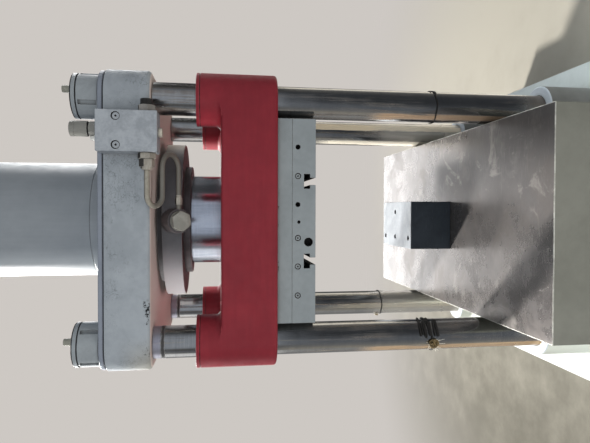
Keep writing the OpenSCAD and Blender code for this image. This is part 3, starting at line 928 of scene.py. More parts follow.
# Painted reflections, bright bands on the polished steel: the column's side of the machine (x, y), across
# its middle, fading out between two heights
columnReflectionBands = (((1, 1), (0.013, 0.036), (1.35, 1.30), (250, 232, 200), 0.95),
              ((1, 1), (-0.048, -0.034), (1.25, 1.12), (244, 236, 216), 0.9),
              ((1, 1), (-0.06, 0.06), (1.00, 0.86), (226, 220, 206), 0.55),
              ((-1, 1), (-0.016, 0.004), (1.24, 1.04), (226, 212, 180), 0.5),
              ((-1, 1), (-0.06, 0.06), (1.00, 0.86), (226, 220, 206), 0.45),
              ((1, -1), (-0.045, -0.030), (1.16, 1.08), (176, 140, 100), 0.7),
              ((-1, -1), (-0.044, -0.026), (1.20, 1.10), (208, 172, 126), 0.75))


def oilAndPaintedLight(tree, layers):
    # Brown oil has run down the polished steel and dried in streaks
    streaks = maskOf(tree, "toolMarks", Stretch=(1.0, 1.0, 0.035), Scale=55.0, Low=0.5, High=0.62)
    patches = spread(tree, noise(tree, layers["where"], 3.2, 4, 0.6), 0.42, 0.62)
    cover(tree, layers, allOf(tree, streaks, patches, 0.55), (120, 94, 66), 0.42, 0.6)
    cream = maskOf(tree, "toolMarks", Stretch=(1.0, 1.0, 0.05), Scale=90.0, Low=0.6, High=0.68)
    cover(tree, layers, times(tree, cream, 0.35), (206, 196, 172), 0.4)
    # Fine rings from turning and polishing
    rings = maskOf(tree, "toolMarks", Stretch=(0.4, 0.4, 14.0), Scale=26.0, Low=0.3, High=0.7)
    cover(tree, layers, times(tree, rings, 0.18), (96, 98, 102), 0.3)
    # Grime at the foot; under the crown on the left columns, a lavender band of painted reflection with a
    # near-black line of painted shade at its foot
    x, y, height = axesOf(tree, layers["where"])
    foot = spread(tree, height, *columnMarks["foot"])
    cover(tree, layers, times(tree, foot, 0.6), columnMarks["footTone"], 0.55, 0.4)
    left = spread(tree, x, 0.1, -0.1)
    ragged = plus(tree, height, times(tree, noise(tree, layers["where"], 60.0, 4, 0.7), 0.014))
    middle = middleOf("column_rr").x
    # Painted reflections: bright bands in fixed places across each column
    for (right, back), (low, high), (start, end), bandTone, amount in columnReflectionBands:
        across = plus(tree, minus(tree, x, middle * right), times(tree, streaks, 0.006))
        side = times(tree, spread(tree, x, 0.0, 0.1 * right), spread(tree, y, 0.0, 0.1 * back))
        band = allOf(tree, within(tree, across, low, high, 0.003), side, spread(tree, height, start, end),
                     amount)
        cover(tree, layers, band, bandTone, 0.3, 0.3)
    underCrownReflection = allOf(tree, within(tree, height, *columnMarks["underCrownReflection"], 0.003), left, 0.6)
    cover(tree, layers, underCrownReflection, columnMarks["underCrownReflectionTone"], 0.4, 0.5)
    seam = allOf(tree, within(tree, ragged, *columnMarks["seam"], 0.002), left, 0.9)
    cover(tree, layers, seam, columnMarks["underCrownShadeTone"], 0.6, 0.1)


columnSteel = metalFinish("columnSteel", columnLook, oilAndPaintedLight)

tableTopLook = {"light": (130, 126, 124), "dark": (110, 107, 106), "cloud": 2.4, "rough": 0.27,
                "metal": 0.72, "contrast": 1.2, "roughScale": 8.0, "roughVary": 0.05, "wear": 0.85,
                "wearReach": 0.003, "wearTone": (222, 218, 210), "wearGrain": 40.0, "wearMetal": 0.4}
# Painted shadows on the table: across, along, softness and amount
tableShadowPatches = (((0.09, 0.23), (-0.30, 0.03), 0.05, 0.85), ((0.08, 0.60), (-0.95, -0.26), 0.15, 0.65))


def tableUse(tree, layers):
    at = axesOf(tree, layers["where"])
    uneven = spread(tree, noise(tree, layers["where"], 9.0, 5, 0.6), 0.2, 0.5)
    # Painted shadows: darker patches right of the tool block and at the front right
    for across, along, soft, amount in tableShadowPatches:
        patch = allOf(tree, uneven, within(tree, at["X"], *across, soft),
                      within(tree, at["Y"], *along, soft))
        cover(tree, layers, times(tree, patch, amount), (62, 60, 60), 0.42, 0.5)
    fine = maskOf(tree, "scratches", Scale=17.0, Amount=0.35)
    cover(tree, layers, times(tree, fine, 0.16), (170, 166, 162), 0.36, None, -0.02)
    thin = maskOf(tree, "scratches", Scale=31.0, Amount=0.4)
    cover(tree, layers, times(tree, thin, 0.16), (78, 74, 72), 0.45, None, -0.02)
    stains = spread(tree, noise(tree, layers["where"], 4.5, 7, 0.65, 0.8), 0.5, 0.62)
    cover(tree, layers, times(tree, stains, 0.4), (102, 95, 90), 0.46)
    smears = spread(tree, noise(tree, layers["where"], 7.0, 8, 0.7, 1.4), 0.55, 0.66)
    cover(tree, layers, times(tree, smears, 0.4), (164, 160, 154), 0.38)
    scuffs = maskOf(tree, "chips", Scale=34.0, Amount=0.34)
    cover(tree, layers, times(tree, scuffs, 0.5), (196, 192, 186), 0.42)


tableTopSteel = metalFinish("tableTopSteel", tableTopLook, tableUse)

edgeLook = {"light": (196, 196, 188), "dark": (150, 149, 142), "cloud": 26.0, "rough": 0.4, "metal": 0.3,
            "contrast": 1.4}


def edgeNicks(tree, layers):
    nicks = maskOf(tree, "chips", Scale=46.0, Amount=0.75)
    cover(tree, layers, nicks, (62, 60, 56), 0.6, 0.1, -0.3)


edgeSteel = metalFinish("edgeSteel", edgeLook, edgeNicks)

blockLook = {"light": (46, 53, 60), "dark": (36, 42, 48), "cloud": 12.0, "rough": 0.45, "metal": 0.3,
             "contrast": 1.1, "roughScale": 24.0, "wear": 0.6, "wearReach": 0.002,
             "wearTone": (120, 126, 131), "wearGrain": 90.0, "dirtAndShade": 0.5, "dirtAndShadeReach": 0.02,
             "dirtAndShadeTone": (28, 27, 26)}


def fewPits(tree, layers):
    milled = maskOf(tree, "toolMarks", Stretch=(24.0, 0.8, 24.0), Scale=12.0, Low=0.35, High=0.65)
    cover(tree, layers, times(tree, milled, 0.12), (64, 71, 79), 0.4)
    fine = maskOf(tree, "scratches", Scale=22.0, Amount=0.25)
    cover(tree, layers, times(tree, fine, 0.2), (98, 104, 110), 0.36)
    pits = maskOf(tree, "chips", Scale=70.0, Amount=0.3)
    cover(tree, layers, times(tree, pits, 0.7), (20, 22, 25), 0.6, None, -0.2)


blockSteel = metalFinish("blockSteel", blockLook, fewPits)

blockTopLook = {"light": (140, 145, 150), "dark": (122, 127, 132), "cloud": 12.0, "rough": 0.34,
                "metal": 0.5, "wear": 0.6, "wearReach": 0.002, "wearTone": (220, 222, 222),
                "roughScale": 20.0}


def millMarks(tree, layers):
    milled = maskOf(tree, "toolMarks", Stretch=(24.0, 0.8, 24.0), Scale=12.0, Low=0.35, High=0.65)
    cover(tree, layers, times(tree, milled, 0.25), (120, 126, 132), 0.38)
    fine = maskOf(tree, "scratches", Scale=22.0, Amount=0.35)
    cover(tree, layers, times(tree, fine, 0.35), (206, 210, 212), 0.3)


blockTopSteel = metalFinish("blockTopSteel", blockTopLook, millMarks)

brightLook = {"light": (228, 229, 224), "dark": (200, 201, 196), "cloud": 60.0, "rough": 0.4,
              "metal": 0.2}
brightSteel = metalFinish("brightSteel", brightLook)

# Near black in seams, holes and slots: old grease and painted shade
grimeAndShadeLook = {"light": (32, 32, 33), "dark": (18, 18, 19), "cloud": 70.0, "rough": 0.75}
seamGrimeAndShade = metalFinish("seamGrimeAndShade", grimeAndShadeLook)


def fibreFinish(name, light, dark):
    finish, tree, body = newFinish(name)
    where = objectPlace(tree)
    grain = noise(tree, where, 420.0, 4, 0.7)
    setColour(tree, body, mixed(tree, spread(tree, grain, 0.3, 0.7), tone(*dark), tone(*light)))
    setRough(tree, body, spread(tree, grain, 0.2, 0.8, 0.75, 0.95))
    setBump(tree, body, grain, 0.0006)
    return finish


brownTwine = fibreFinish("brownTwine", (136, 118, 82), (78, 64, 40))
darkTwine = fibreFinish("darkTwine", (40, 38, 36), (20, 19, 18))
paleTwine = fibreFinish("paleTwine", (238, 234, 222), (206, 200, 184))
print("metals and twine built")


# The camera lies on its side: the picture's left edge is the machine's top
cameraSet = {"place": (0.0309, -1.9941, 1.6130), "pitchDown": 8.1, "yawLeft": 1.11, "lens": 32.25}


def aimCamera(setting):
    pitch = math.radians(setting["pitchDown"])
    yaw = math.radians(-setting["yawLeft"])
    forward = Vector((math.sin(yaw) * math.cos(pitch), math.cos(yaw) * math.cos(pitch), -math.sin(pitch)))
    right = Vector((math.cos(yaw), -math.sin(yaw), 0))
    up = right.cross(forward)
    turned = Matrix((-up, right, -forward)).transposed().to_4x4()
    data = bpy.data.cameras.new("pressCamera")
    data.sensor_fit = "HORIZONTAL"
    data.sensor_width = 36
    data.lens = setting["lens"]
    data.clip_end = 100
    made = bpy.data.objects.new("pressCamera", data)
    made.matrix_world = Matrix.Translation(setting["place"]) @ turned
    scene.collection.objects.link(made)
    scene.camera = made


aimCamera(cameraSet)
print("camera placed")

columnAt = {key: middleOf("column_" + key).to_2d() for key in sides}
columnRadius = sizeOf("column_fl").x / 2
bossRadius = sizeOf("ring_fl").x / 2
columnBore = {"gap": 0.0005}


def boreCutters(radius, low, high, mouth=0.0):
    # Straight holes around the columns; the mouth is the chamfer at their upper end
    rings = [(0, low - past), (radius, low - past), (radius, high - mouth)]
    if mouth:
        rings.append((radius + mouth, high))
    rings += [(radius + mouth, high + past), (0, high + past)]
    cutters = bmesh.new()
    for x, y in columnAt.values():
        addPart(cutters, spin(rings, 96), moved(x, y, 0))
    return cutters


def bossReach(key, offset):
    # A boss's foot spreads inward over its casting, but never past the casting's side
    sx, sy = sides[key]

    def reach(angle):
        wanted = bossRadius + offset
        out = math.cos(angle) * sx
        back = math.sin(angle) * sy
        if out > 0 and back > 0:
            return bossRadius
        if out > 0:
            wanted = min(wanted, bossRadius / out)
        if back > 0:
            wanted = min(wanted, bossRadius / back)
        return wanted

    return reach


def bossRings(key, low, high, setting, sink):
    # The foot is sunk to where the casting's own rounded edge begins, so that both sides are flush
    rings = [(0, low - sink), (bossReach(key, setting["flare"]), low - sink)]
    rings += [(bossReach(key, offset), height)
              for offset, height in filletRings(0, low, setting["flare"], 5)]
    return rings + roundedOff(bossRadius, high, setting["edge"], setting["edge"], 4) + [(0, high)]


# Base: welded plates

basePlates = {"bevel": 0.003,
              "nodes": ("base_top", "base_side_l", "base_side_r", "base_end_f", "base_end_b")}


def dressBase():
    # The plates keep their own shape, and get rounded edges and paint
    for node in basePlates["nodes"]:
        piece = bpy.data.objects[node]
        piece.data.materials.clear()
        piece.data.materials.append(basePaint)
        rounding = piece.modifiers.new("roundedEdges", "BEVEL")
        rounding.width = basePlates["bevel"]
        rounding.segments = 3
        rounding.limit_method = "ANGLE"
        rounding.angle_limit = math.radians(40)
        rounding.harden_normals = True


dressBase()

# Lower casting, its bosses and the table

lowerCasting = {"topEdge": 0.010, "footEdge": 0.003,
                "boss": {"flare": 0.014, "edge": 0.006, "chamfer": 0.002}}


def buildLowerCasting():
    low, high = boxOf("lower_casting")
    size = high - low
    levels = edgeLevels(low.z, high.z, lowerCasting["footEdge"], lowerCasting["topEdge"])
    plate = roundedPlate(size.x, size.y, bossRadius, levels)
    bottom, top = boxOf("foot_bosses")
    boss = lowerCasting["boss"]
    bosses = bmesh.new()
    for key, (x, y) in columnAt.items():
        rings = bossRings(key, bottom.z, top.z, boss, lowerCasting["topEdge"])
        addPart(bosses, spin(rings, 96), moved(x, y, 0), lambda middle: middle.z > top.z - 0.003)
    holes = boreCutters(columnRadius + columnBore["gap"], low.z, top.z, boss["chamfer"])
    finishPiece("lowerCasting", plate, [castingPaint, bossTopPaint], fixedBody,
                ["lower_casting", "foot_bosses"], holes, joined=bosses)


buildLowerCasting()

tableSet = {"edge": 0.0025, "foot": 0.004, "footIn": 0.040, "footEndIn": 0.090, "footHeight": 0.082}


def buildTable():
    low, high = boxOf("table")
    under = low.z + tableSet["footHeight"]
    bm = softBox(Vector((low.x + tableSet["footIn"], low.y + tableSet["footEndIn"], low.z)),
                 Vector((high.x - tableSet["footIn"], high.y - tableSet["footEndIn"], under + 0.01)),
                 tableSet["foot"])
    addPart(bm, softBox(Vector((low.x, low.y, under)), high, tableSet["edge"]))
    for face in bm.faces:
        depth = high.z - face.calc_center_median().z
        face.material_index = 1 if depth < 0.0001 else 2 * int(depth < tableSet["edge"])
    finishPiece("tableSlab", bm, [tableSidePaint, tableTopSteel, edgeSteel], fixedBody,
                ["table"])


buildTable()
print("base, lower casting and table built")

# Columns

columnSet = {"thread": 0.0448, "chamfer": 0.002}


def buildColumn(key):
    low, high = boxOf("column_" + key)
    x, y = columnAt[key]
    shoulder = boxOf("crown")[0].z
    chamfer = columnSet["chamfer"]
    rings = [(0, low.z), (columnRadius, low.z), (columnRadius, shoulder - chamfer),
             (columnRadius - chamfer, shoulder), (columnSet["thread"], shoulder),
             (columnSet["thread"], high.z), (0, high.z)]
    bm = addPart(bmesh.new(), spin(rings, 96), moved(x, y, 0))
    finishPiece("column_" + key + "_polished", bm, [columnSteel], fixedBody,
                ["column_" + key])


for corner in sides:
    buildColumn(corner)

# Crown with its machined strip

crownSet = {"lowerEdge": 0.014, "groove": 0.006, "grooveHeight": 0.003, "strip": 0.014,
            "stripInset": 0.004, "stripEdge": 0.002, "bodyEdge": 0.003, "barrelGap": 0.0003,
            "threadGap": 0.0452}


def buildCrown():
    low, high = boxOf("crown")
    size = high - low
    split = high.z - crownSet["strip"]
    inset = crownSet["stripInset"]
    levels = edgeLevels(low.z, split - crownSet["grooveHeight"], crownSet["lowerEdge"],
                        crownSet["bodyEdge"])
    levels += [(crownSet["groove"], levels[-1][1]), (crownSet["groove"], split),
               (inset + crownSet["stripEdge"], split), (inset, split + crownSet["stripEdge"]),
               (inset, high.z - crownSet["stripEdge"]), (inset + crownSet["stripEdge"], high.z)]
    plate = roundedPlate(size.x, size.y, bossRadius, levels)
    bmesh.ops.recalc_face_normals(plate, faces=plate.faces)
    # The groove's faces get the near-black finish: painted shade
    for face in plate.faces:
        height = face.calc_center_median().z
        inGroove = levels[-7][1] - 0.0002 < height < split + 0.0002 and face.normal.z < 0.5
        face.material_index = 2 if inGroove else int(height > split)
    cutters = boreCutters(crownSet["threadGap"], low.z, high.z)
    hole = sizeOf("cylinder_head").x / 2 + crownSet["barrelGap"]
    rings = [(0, low.z - past), (hole, low.z - past), (hole, high.z + past), (0, high.z + past)]
    addPart(cutters, spin(rings, 128))
    finishPiece("crownCasting", plate, [crownPaint, stripPaint, seamGrimeAndShade], fixedBody,
                ["crown"], cutters)


buildCrown()
print("columns and crown built")

# Column nuts with spanner notches, and the covers on them

nutSet = {"chamfer": 0.002, "bore": 0.0450, "footSeam": 0.0015, "notchWidth": 0.015, "notchDepth": 0.008,
          "notchIn": 0.005, "turn": {"fl": 45, "rl": 45, "fr": 65, "rr": 65}}
coverSet = {"edge": 0.0045, "rim": 0.0025, "seam": 0.003, "seamDepth": 0.0025, "stubRadius": 0.011,
            "stubEdge": 0.003, "plate": 0.018, "stubFoot": 0.003,
            "stubAside": {"fl": 0.008, "rl": 0.008, "fr": 0.021, "rr": 0.021}}


def buildNut(key):
    low, high = boxOf("nut_" + key)
    x, y = columnAt[key]
    radius = (high.x - low.x) / 2
    edge = nutSet["chamfer"]
    seam = nutSet["footSeam"]
    rings = [(nutSet["bore"], low.z), (radius - edge, low.z), (radius - edge, low.z + seam),
             (radius, low.z + seam + edge), (radius, high.z - edge), (radius - edge, high.z),
             (nutSet["bore"], high.z)]
    # The seam at the nut's foot gets the near-black finish: painted shade
    bm = addPart(bmesh.new(), spin(rings, 96, closed=True), moved(x, y, 0),
                 lambda middle: middle.z < low.z + seam)
    cutters = bmesh.new()
    depth = nutSet["notchDepth"]
    half = nutSet["notchWidth"] / 2
    inward = nutSet["notchIn"]
    for quarter in range(4):
        notch = softBox(Vector((radius - depth, -half, low.z + inward)),
                        Vector((radius + 0.02, half, high.z - inward)), 0.001, 1)
        turn = math.radians(nutSet["turn"][key] + 90 * quarter)
        addPart(cutters, notch, moved(x, y, 0) @ Matrix.Rotation(turn, 4, "Z"))
    finishPiece("nut_" + key + "_notched", bm, [nutPaint, seamGrimeAndShade], fixedBody,
                ["nut_" + key], cutters)


def buildCover(key):
    low, high = boxOf("cover_" + key)
    x, y = columnAt[key]
    radius = (high.x - low.x) / 2
    edge = coverSet["edge"]
    rim = coverSet["rim"]
    seam = coverSet["seam"]
    inner = radius - coverSet["seamDepth"]
    top = low.z + coverSet["plate"]
    rings = [(0, low.z), (inner, low.z), (inner, low.z + seam), (radius - 0.0005, low.z + seam),
             (radius, low.z + seam + 0.0005), (radius, top - edge),
             (radius - edge * 0.3, top - edge * 0.3), (radius - edge, top), (radius - edge - rim, top),
             (0, top)]

    # The outer rim and the seam under the cover get the near-black finish: painted shade
    def shadedRimAndSeam(middle):
        out = math.hypot(middle.x, middle.y)
        onRim = middle.z > top - edge * 0.99 and out > radius - edge - rim
        return onRim or middle.z < low.z + seam + 0.0001

    bm = addPart(bmesh.new(), spin(rings, 96), moved(x, y, 0), shadedRimAndSeam)
    stub = coverSet["stubRadius"]
    bevel = coverSet["stubEdge"]
    foot = coverSet["stubFoot"]
    rings = [(0, top - 0.001), (stub + foot, top - 0.001), (stub + foot, top + 0.002),
             (stub, top + 0.002 + foot)]
    rings += roundedOff(stub, high.z, bevel, bevel, 3) + [(0, high.z)]
    addPart(bm, spin(rings, 48), moved(x + coverSet["stubAside"][key], y, 0), 2)
    finishPiece("cover_" + key + "_stubbed", bm, [nutPaint, seamGrimeAndShade, stubPaint], fixedBody,
                ["cover_" + key])


for corner in sides:
    buildNut(corner)
    buildCover(corner)
print("nuts and covers built")

# Cylinder, flange and gland

barrelRadius = sizeOf("cylinder_head").x / 2
cylinderSet = {"bore": 0.170, "collar": 0.065, "collarEdge": 0.004, "seam": 0.0015, "headEdge": 0.012,
               "headSeam": 0.002}
flangeSet = {"neck": 0.226, "height": 0.064, "edge": 0.003, "fillet": 0.006}
glandSet = {"bore": 0.1595, "edge": 0.002}


def buildCylinder():
    low, high = boxOf("barrel")
    foot = boxOf("crown")[1].z
    collar = sizeOf("barrel").x / 2
    bore = cylinderSet["bore"]
    top = foot + cylinderSet["collar"]
    edge = cylinderSet["collarEdge"]
    seam = cylinderSet["seam"]
    rings = [(bore, low.z), (barrelRadius, low.z), (barrelRadius, foot - 0.002), (collar, foot - 0.002)]
    rings += roundedOff(collar, top, edge / 2, edge, 4)
    rings += [(barrelRadius - seam, top), (barrelRadius - seam, top + seam),
              (barrelRadius, top + seam * 2), (barrelRadius, high.z - seam),
              (barrelRadius - seam, high.z), (bore, high.z)]
    finishPiece("cylinderBarrel", spin(rings, 160, closed=True), [cylinderPaint], fixedBody,
                ["barrel"])
    low, high = boxOf("cylinder_head")
    edge = cylinderSet["headEdge"]
    seam = cylinderSet["headSeam"]
    rings = [(0, low.z), (barrelRadius - seam, low.z), (barrelRadius - seam, low.z + seam),
             (barrelRadius, low.z + seam * 2)]
    rings += roundedOff(barrelRadius, high.z, edge, edge, 8) + [(0, high.z)]
    finishPiece("cylinderHead", spin(rings, 160), [cylinderPaint], fixedBody,
                ["cylinder_head"])


def buildFlange():
    low, high = boxOf("barrel_flange")
    radius = (high.x - low.x) / 2
    shelf = low.z + flangeSet["height"]
    edge = flangeSet["edge"]
    rings = [(barrelRadius, low.z), (radius - edge, low.z), (radius - edge * 0.3, low.z + edge * 0.3),
             (radius, low.z + edge), (radius, shelf - edge), (radius - edge * 0.3, shelf - edge * 0.3),
             (radius - edge, shelf)]
    rings += filletRings(flangeSet["neck"], shelf, flangeSet["fillet"], 4)
    rings += [(flangeSet["neck"], high.z), (barrelRadius, high.z)]
    finishPiece("cylinderFlange", spin(rings, 160, closed=True), [flangePaint], fixedBody,
                ["barrel_flange"])
    low, high = boxOf("gland")
    radius = (high.x - low.x) / 2
    edge = glandSet["edge"]
    bore = glandSet["bore"]
    rings = [(bore + edge, low.z), (radius - edge, low.z), (radius, low.z + edge), (radius, high.z),
             (bore, high.z), (bore, low.z + edge)]
    finishPiece("glandRing", spin(rings, 160, closed=True), [darkSteel], fixedBody,
                ["gland"])


buildCylinder()
buildFlange()

rodSet = {"radius": 0.159, "piston": 0.110, "edge": 0.003}


def buildRod():
    low, high = boxOf("piston_rod")
    piston = (high.x - low.x) / 2
    step = high.z - rodSet["piston"]
    edge = rodSet["edge"]
    rings = [(0, low.z), (rodSet["radius"], low.z), (rodSet["radius"], step), (piston - edge, step),
             (piston, step + edge), (piston, high.z - edge), (piston - edge, high.z), (0, high.z)]
    finishPiece("pistonRod", spin(rings, 160), [rodChrome], movingBody, ["piston_rod"])


buildRod()
print("cylinder, flange, gland and rod built")

# Crosshead with its bosses and rings

crossheadSet = {"lowerEdge": 0.009, "topEdge": 0.008,
                "boss": {"flare": 0.016, "edge": 0.0015, "chamfer": 0.001}, "ringEdge": 0.002,
                "ringSeam": 0.002, "ringLip": 0.003}


def buildCrosshead():
    low, high = boxOf("crosshead")
    size = high - low
    levels = edgeLevels(low.z, high.z, crossheadSet["lowerEdge"], crossheadSet["topEdge"])
    bottom, top = boxOf("head_bosses")
    boss = crossheadSet["boss"]
    bosses = bmesh.new()
    for key, (x, y) in columnAt.items():
        addPart(bosses, spin(bossRings(key, bottom.z, top.z, boss, crossheadSet["topEdge"]), 96),
                moved(x, y, 0))
    holes = boreCutters(columnRadius + columnBore["gap"], low.z, top.z, boss["chamfer"])
    finishPiece("crossheadCasting", roundedPlate(size.x, size.y, bossRadius, levels), [redPaint],
                movingBody, ["crosshead", "head_bosses"], holes, joined=bosses)
    for key, (x, y) in columnAt.items():
        low, high = boxOf("ring_" + key)
        edge = crossheadSet["ringEdge"]
        seam = crossheadSet["ringSeam"]
        lip = crossheadSet["ringLip"]
        bore = columnRadius + columnBore["gap"]
        rings = [(bore, low.z), (bossRadius - seam, low.z), (bossRadius - seam, low.z + seam),
                 (bossRadius, low.z + seam), (bossRadius, high.z - edge),
                 (bossRadius - edge * 0.3, high.z - edge * 0.3), (bossRadius - edge, high.z),
                 (bore + lip, high.z), (bore, high.z - lip)]
        # The seam at the ring's foot gets the near-black finish: painted shade
        bm = addPart(bmesh.new(), spin(rings, 96, closed=True), moved(x, y, 0),
                     lambda middle: middle.z < low.z + seam + 0.0001)
        finishPiece("ring_" + key + "_wiper", bm, [redPaint, seamGrimeAndShade], movingBody,
                    ["ring_" + key])


buildCrosshead()
print("crosshead built")

# Platen: a spacer plate and a plate with two T-slots

platenSet = {"edge": 0.002, "slotMiddle": 0.125, "neck": 0.022, "neckDepth": 0.018, "head": 0.046,
             "headHeight": 0.019, "slotEdge": 0.0012, "liftHoles": ((-0.0652, 1.3376, 0.0125),),
             "tappedHoles": ((0.0522, 1.3714, 0.007), (0.2314, 1.3714, 0.007), (-0.0025, 1.368, 0.0045)),
             "plugHoles": (-0.2329, -0.1418, -0.0525, 0.1411), "plugHeight": 1.371, "plugRadius": 0.0085,
             "plugGap": 0.0014, "holeDepth": 0.030, "plugDepth": 0.006, "plugSunk": 0.001,
             "plugKey": 0.005}


def platenOutline(low, high):
    half = platenSet["slotEdge"]
    points = [(low.x, low.z, 0.002)]
    for middle in (-platenSet["slotMiddle"], platenSet["slotMiddle"]):
        neck = platenSet["neck"] / 2
        head = platenSet["head"] / 2
        step = low.z + platenSet["neckDepth"]
        roof = step + platenSet["headHeight"]
        points += [(middle - neck, low.z, half), (middle - neck, step, half), (middle - head, step, half),
                   (middle - head, roof, half), (middle + head, roof, half), (middle + head, step, half),
                   (middle + neck, step, half), (middle + neck, low.z, half)]
    points += [(high.x, low.z, 0.002), (high.x, high.z, 0.002), (low.x, high.z, 0.002)]
    return softened(points, steps=2)


def frontCutter(x, z, radius, front, depth):
    # A drilled hole with a small chamfer at its mouth
    mouth = radius * 0.12
    return spin([(0, -past), (radius + mouth, -past), (radius + mouth, 0), (radius, mouth),
                 (radius, depth), (0, depth + radius * 0.5)], 40), facing((0, 1, 0), (x, front, z))


def buildPlaten():
    low, high = boxOf("t_slot_plate")
    bm = extruded(platenOutline(low, high), low.y, high.y)
    bmesh.ops.recalc_face_normals(bm, faces=bm.faces)
    ends = [edge for edge in bm.edges if abs(edge.verts[0].co.y - edge.verts[1].co.y) < 1e-6
            and abs(abs(edge.verts[0].co.y) - high.y) < 1e-6]
    bmesh.ops.bevel(bm, geom=ends, offset=0.001, segments=2, profile=0.5, affect="EDGES")
    # The slots' inner faces get the near-black finish, grease and painted shade; only the mouths at both
    # ends stay painted
    for face in bm.faces:
        middle = face.calc_center_median()
        beside = abs(abs(middle.x) - platenSet["slotMiddle"]) < platenSet["head"] / 2 + 0.001
        face.material_index = int(beside and abs(face.normal.y) < 0.3
                                  and low.z + 0.0015 < middle.z < high.z - 0.01)
    cutters = bmesh.new()
    # The hole walls get the near-black finish: painted shade
    for x, z, radius in platenSet["liftHoles"] + platenSet["tappedHoles"]:
        cutter, place = frontCutter(x, z, radius, low.y, platenSet["holeDepth"])
        addPart(cutters, cutter, place, 1)
    for x in platenSet["plugHoles"]:
        cutter, place = frontCutter(x, platenSet["plugHeight"], platenSet["plugRadius"], low.y,
                                    platenSet["plugDepth"])
        addPart(cutters, cutter, place, 1)
    finishPiece("slottedPlate", bm, [platenPaint, seamGrimeAndShade], movingBody, ["t_slot_plate"],
                cutters)
    # Painted-over grub screws, just below the face
    plugs = bmesh.new()
    for x in platenSet["plugHoles"]:
        radius = platenSet["plugRadius"] - platenSet["plugGap"]
        face = platenSet["plugDepth"] - platenSet["plugSunk"]
        key = ("hex", platenSet["plugKey"])
        rings = [(0, 0), (radius, 0), (radius, face - 0.0005), (radius - 0.0008, face),
                 (platenSet["plugKey"] * 0.8, face), (key, face - 0.0006), (key, face - 0.003),
                 (0, face - 0.003)]
        place = facing((0, -1, 0), (x, low.y + platenSet["plugDepth"], platenSet["plugHeight"]))
        # The hex recess gets the near-black finish: painted shade
        addPart(plugs, spin(rings, 36), place,
                lambda middle: math.hypot(middle.x, middle.y) < platenSet["plugKey"] * 0.6
                and middle.z < face - 0.001)
    finishPiece("platenGrubScrews", plugs, [platenPaint, seamGrimeAndShade], movingBody)
    low, high = boxOf("spacer_plate")
    finishPiece("spacerPlate", softBox(low, high, platenSet["edge"]), [platenPaint], movingBody,
                ["spacer_plate"])


buildPlaten()
print("platen built")

# Valve block, its screws and fittings

valveSet = {"edge": 0.003, "screwSpan": 0.0401, "screwHeight": 1.900, "counterbore": 0.011,
            "counterboreDepth": 0.006, "screwHead": 0.0100, "headLength": 0.0046, "headDrop": 0.0007,
            "key": 0.006, "keyDepth": 0.003, "bleedX": 0.238, "bleedAside": 0.006, "bleedHex": 0.020,
            "bleedHeight": 0.021}


def buildValveBlock():
    low, high = boxOf("valve_block")
    middle = (low + high) / 2
    cutters = bmesh.new()
    screws = bmesh.new()
    for side in (-1, 1):
        x = middle.x + side * valveSet["screwSpan"]
        z = valveSet["screwHeight"]
        # The counterbore walls get the near-black finish: painted shade
        cutter, place = frontCutter(x, z, valveSet["counterbore"], low.y, valveSet["counterboreDepth"])
        addPart(cutters, cutter, place, 1)
        # The heads are painted over with the block
        length = valveSet["headLength"]
        head = socketHead(valveSet["screwHead"], length, valveSet["key"], valveSet["keyDepth"])
        place = facing((0, -1, 0),
                       (x, low.y + valveSet["counterboreDepth"] + 0.0005, z - valveSet["headDrop"]))
        addPart(screws, head, place,
                lambda spot: math.hypot(spot.x, spot.y) < valveSet["key"] * 0.6
                and spot.z < length - 0.001)
    finishPiece("valveBlock", softBox(low, high, valveSet["edge"]), [valvePaint, seamGrimeAndShade], fixedBody,
                ["valve_block"], cutters)
    finishPiece("valveBlockScrews", screws, [valvePaint, seamGrimeAndShade], fixedBody)
    across = valveSet["bleedHex"]
    top = valveSet["bleedHeight"]
    rings = [(0, -0.001)] + hexRings(across, 0, 0.009, bevelLow=False)
    rings += [(across * 0.42, 0.009), (across * 0.42, 0.012), (across * 0.30, top - 0.001),
              (across * 0.26, top), (0, top)]
    bleed = bmesh.new()
    addPart(bleed, spin(rings, 48), moved(valveSet["bleedX"], middle.y + valveSet["bleedAside"], high.z))
    finishPiece("bleedScrew", bleed, [brightSteel], fixedBody)


reliefSet = {"across": 0.0364, "hexHeight": 0.022, "cap": 0.022, "edge": 0.003, "groove": 0.0012,
             "grooveAt": 0.014, "seam": 0.003, "seamDepth": 0.0022}


def buildReliefValve():
    low, high = boxOf("relief_valve")
    x, y = middleOf("relief_valve").to_2d()
    cap = reliefSet["cap"]
    step = low.z + reliefSet["hexHeight"]
    edge = reliefSet["edge"]
    groove = reliefSet["groove"]
    grooveZ = high.z - reliefSet["grooveAt"]
    seam = reliefSet["seam"]
    inner = reliefSet["across"] / 2 - reliefSet["seamDepth"]
    rings = [(0, low.z - 0.001), (inner, low.z - 0.001), (inner, low.z + 0.002)]
    rings += hexRings(reliefSet["across"], low.z + 0.002, step)
    rings += [(inner, step), (inner, step + seam), (cap - 0.001, step + seam), (cap, step + seam + 0.001),
              (cap, grooveZ - groove), (cap - groove, grooveZ - groove * 0.5),
              (cap - groove, grooveZ + groove * 0.5), (cap, grooveZ + groove), (cap, high.z - edge),
              (cap - edge * 0.3, high.z - edge * 0.3), (cap - edge, high.z), (0, high.z)]
    # The seams below and above the hex get the near-black finish: painted shade
    bm = addPart(bmesh.new(), spin(rings, 72), moved(x, y, 0),
                 lambda middle: middle.z < low.z + 0.0021
                 or step - 0.0001 < middle.z < step + seam + 0.0001)
    finishPiece("reliefValveCap", bm, [reliefSteel, seamGrimeAndShade], fixedBody, ["relief_valve"])


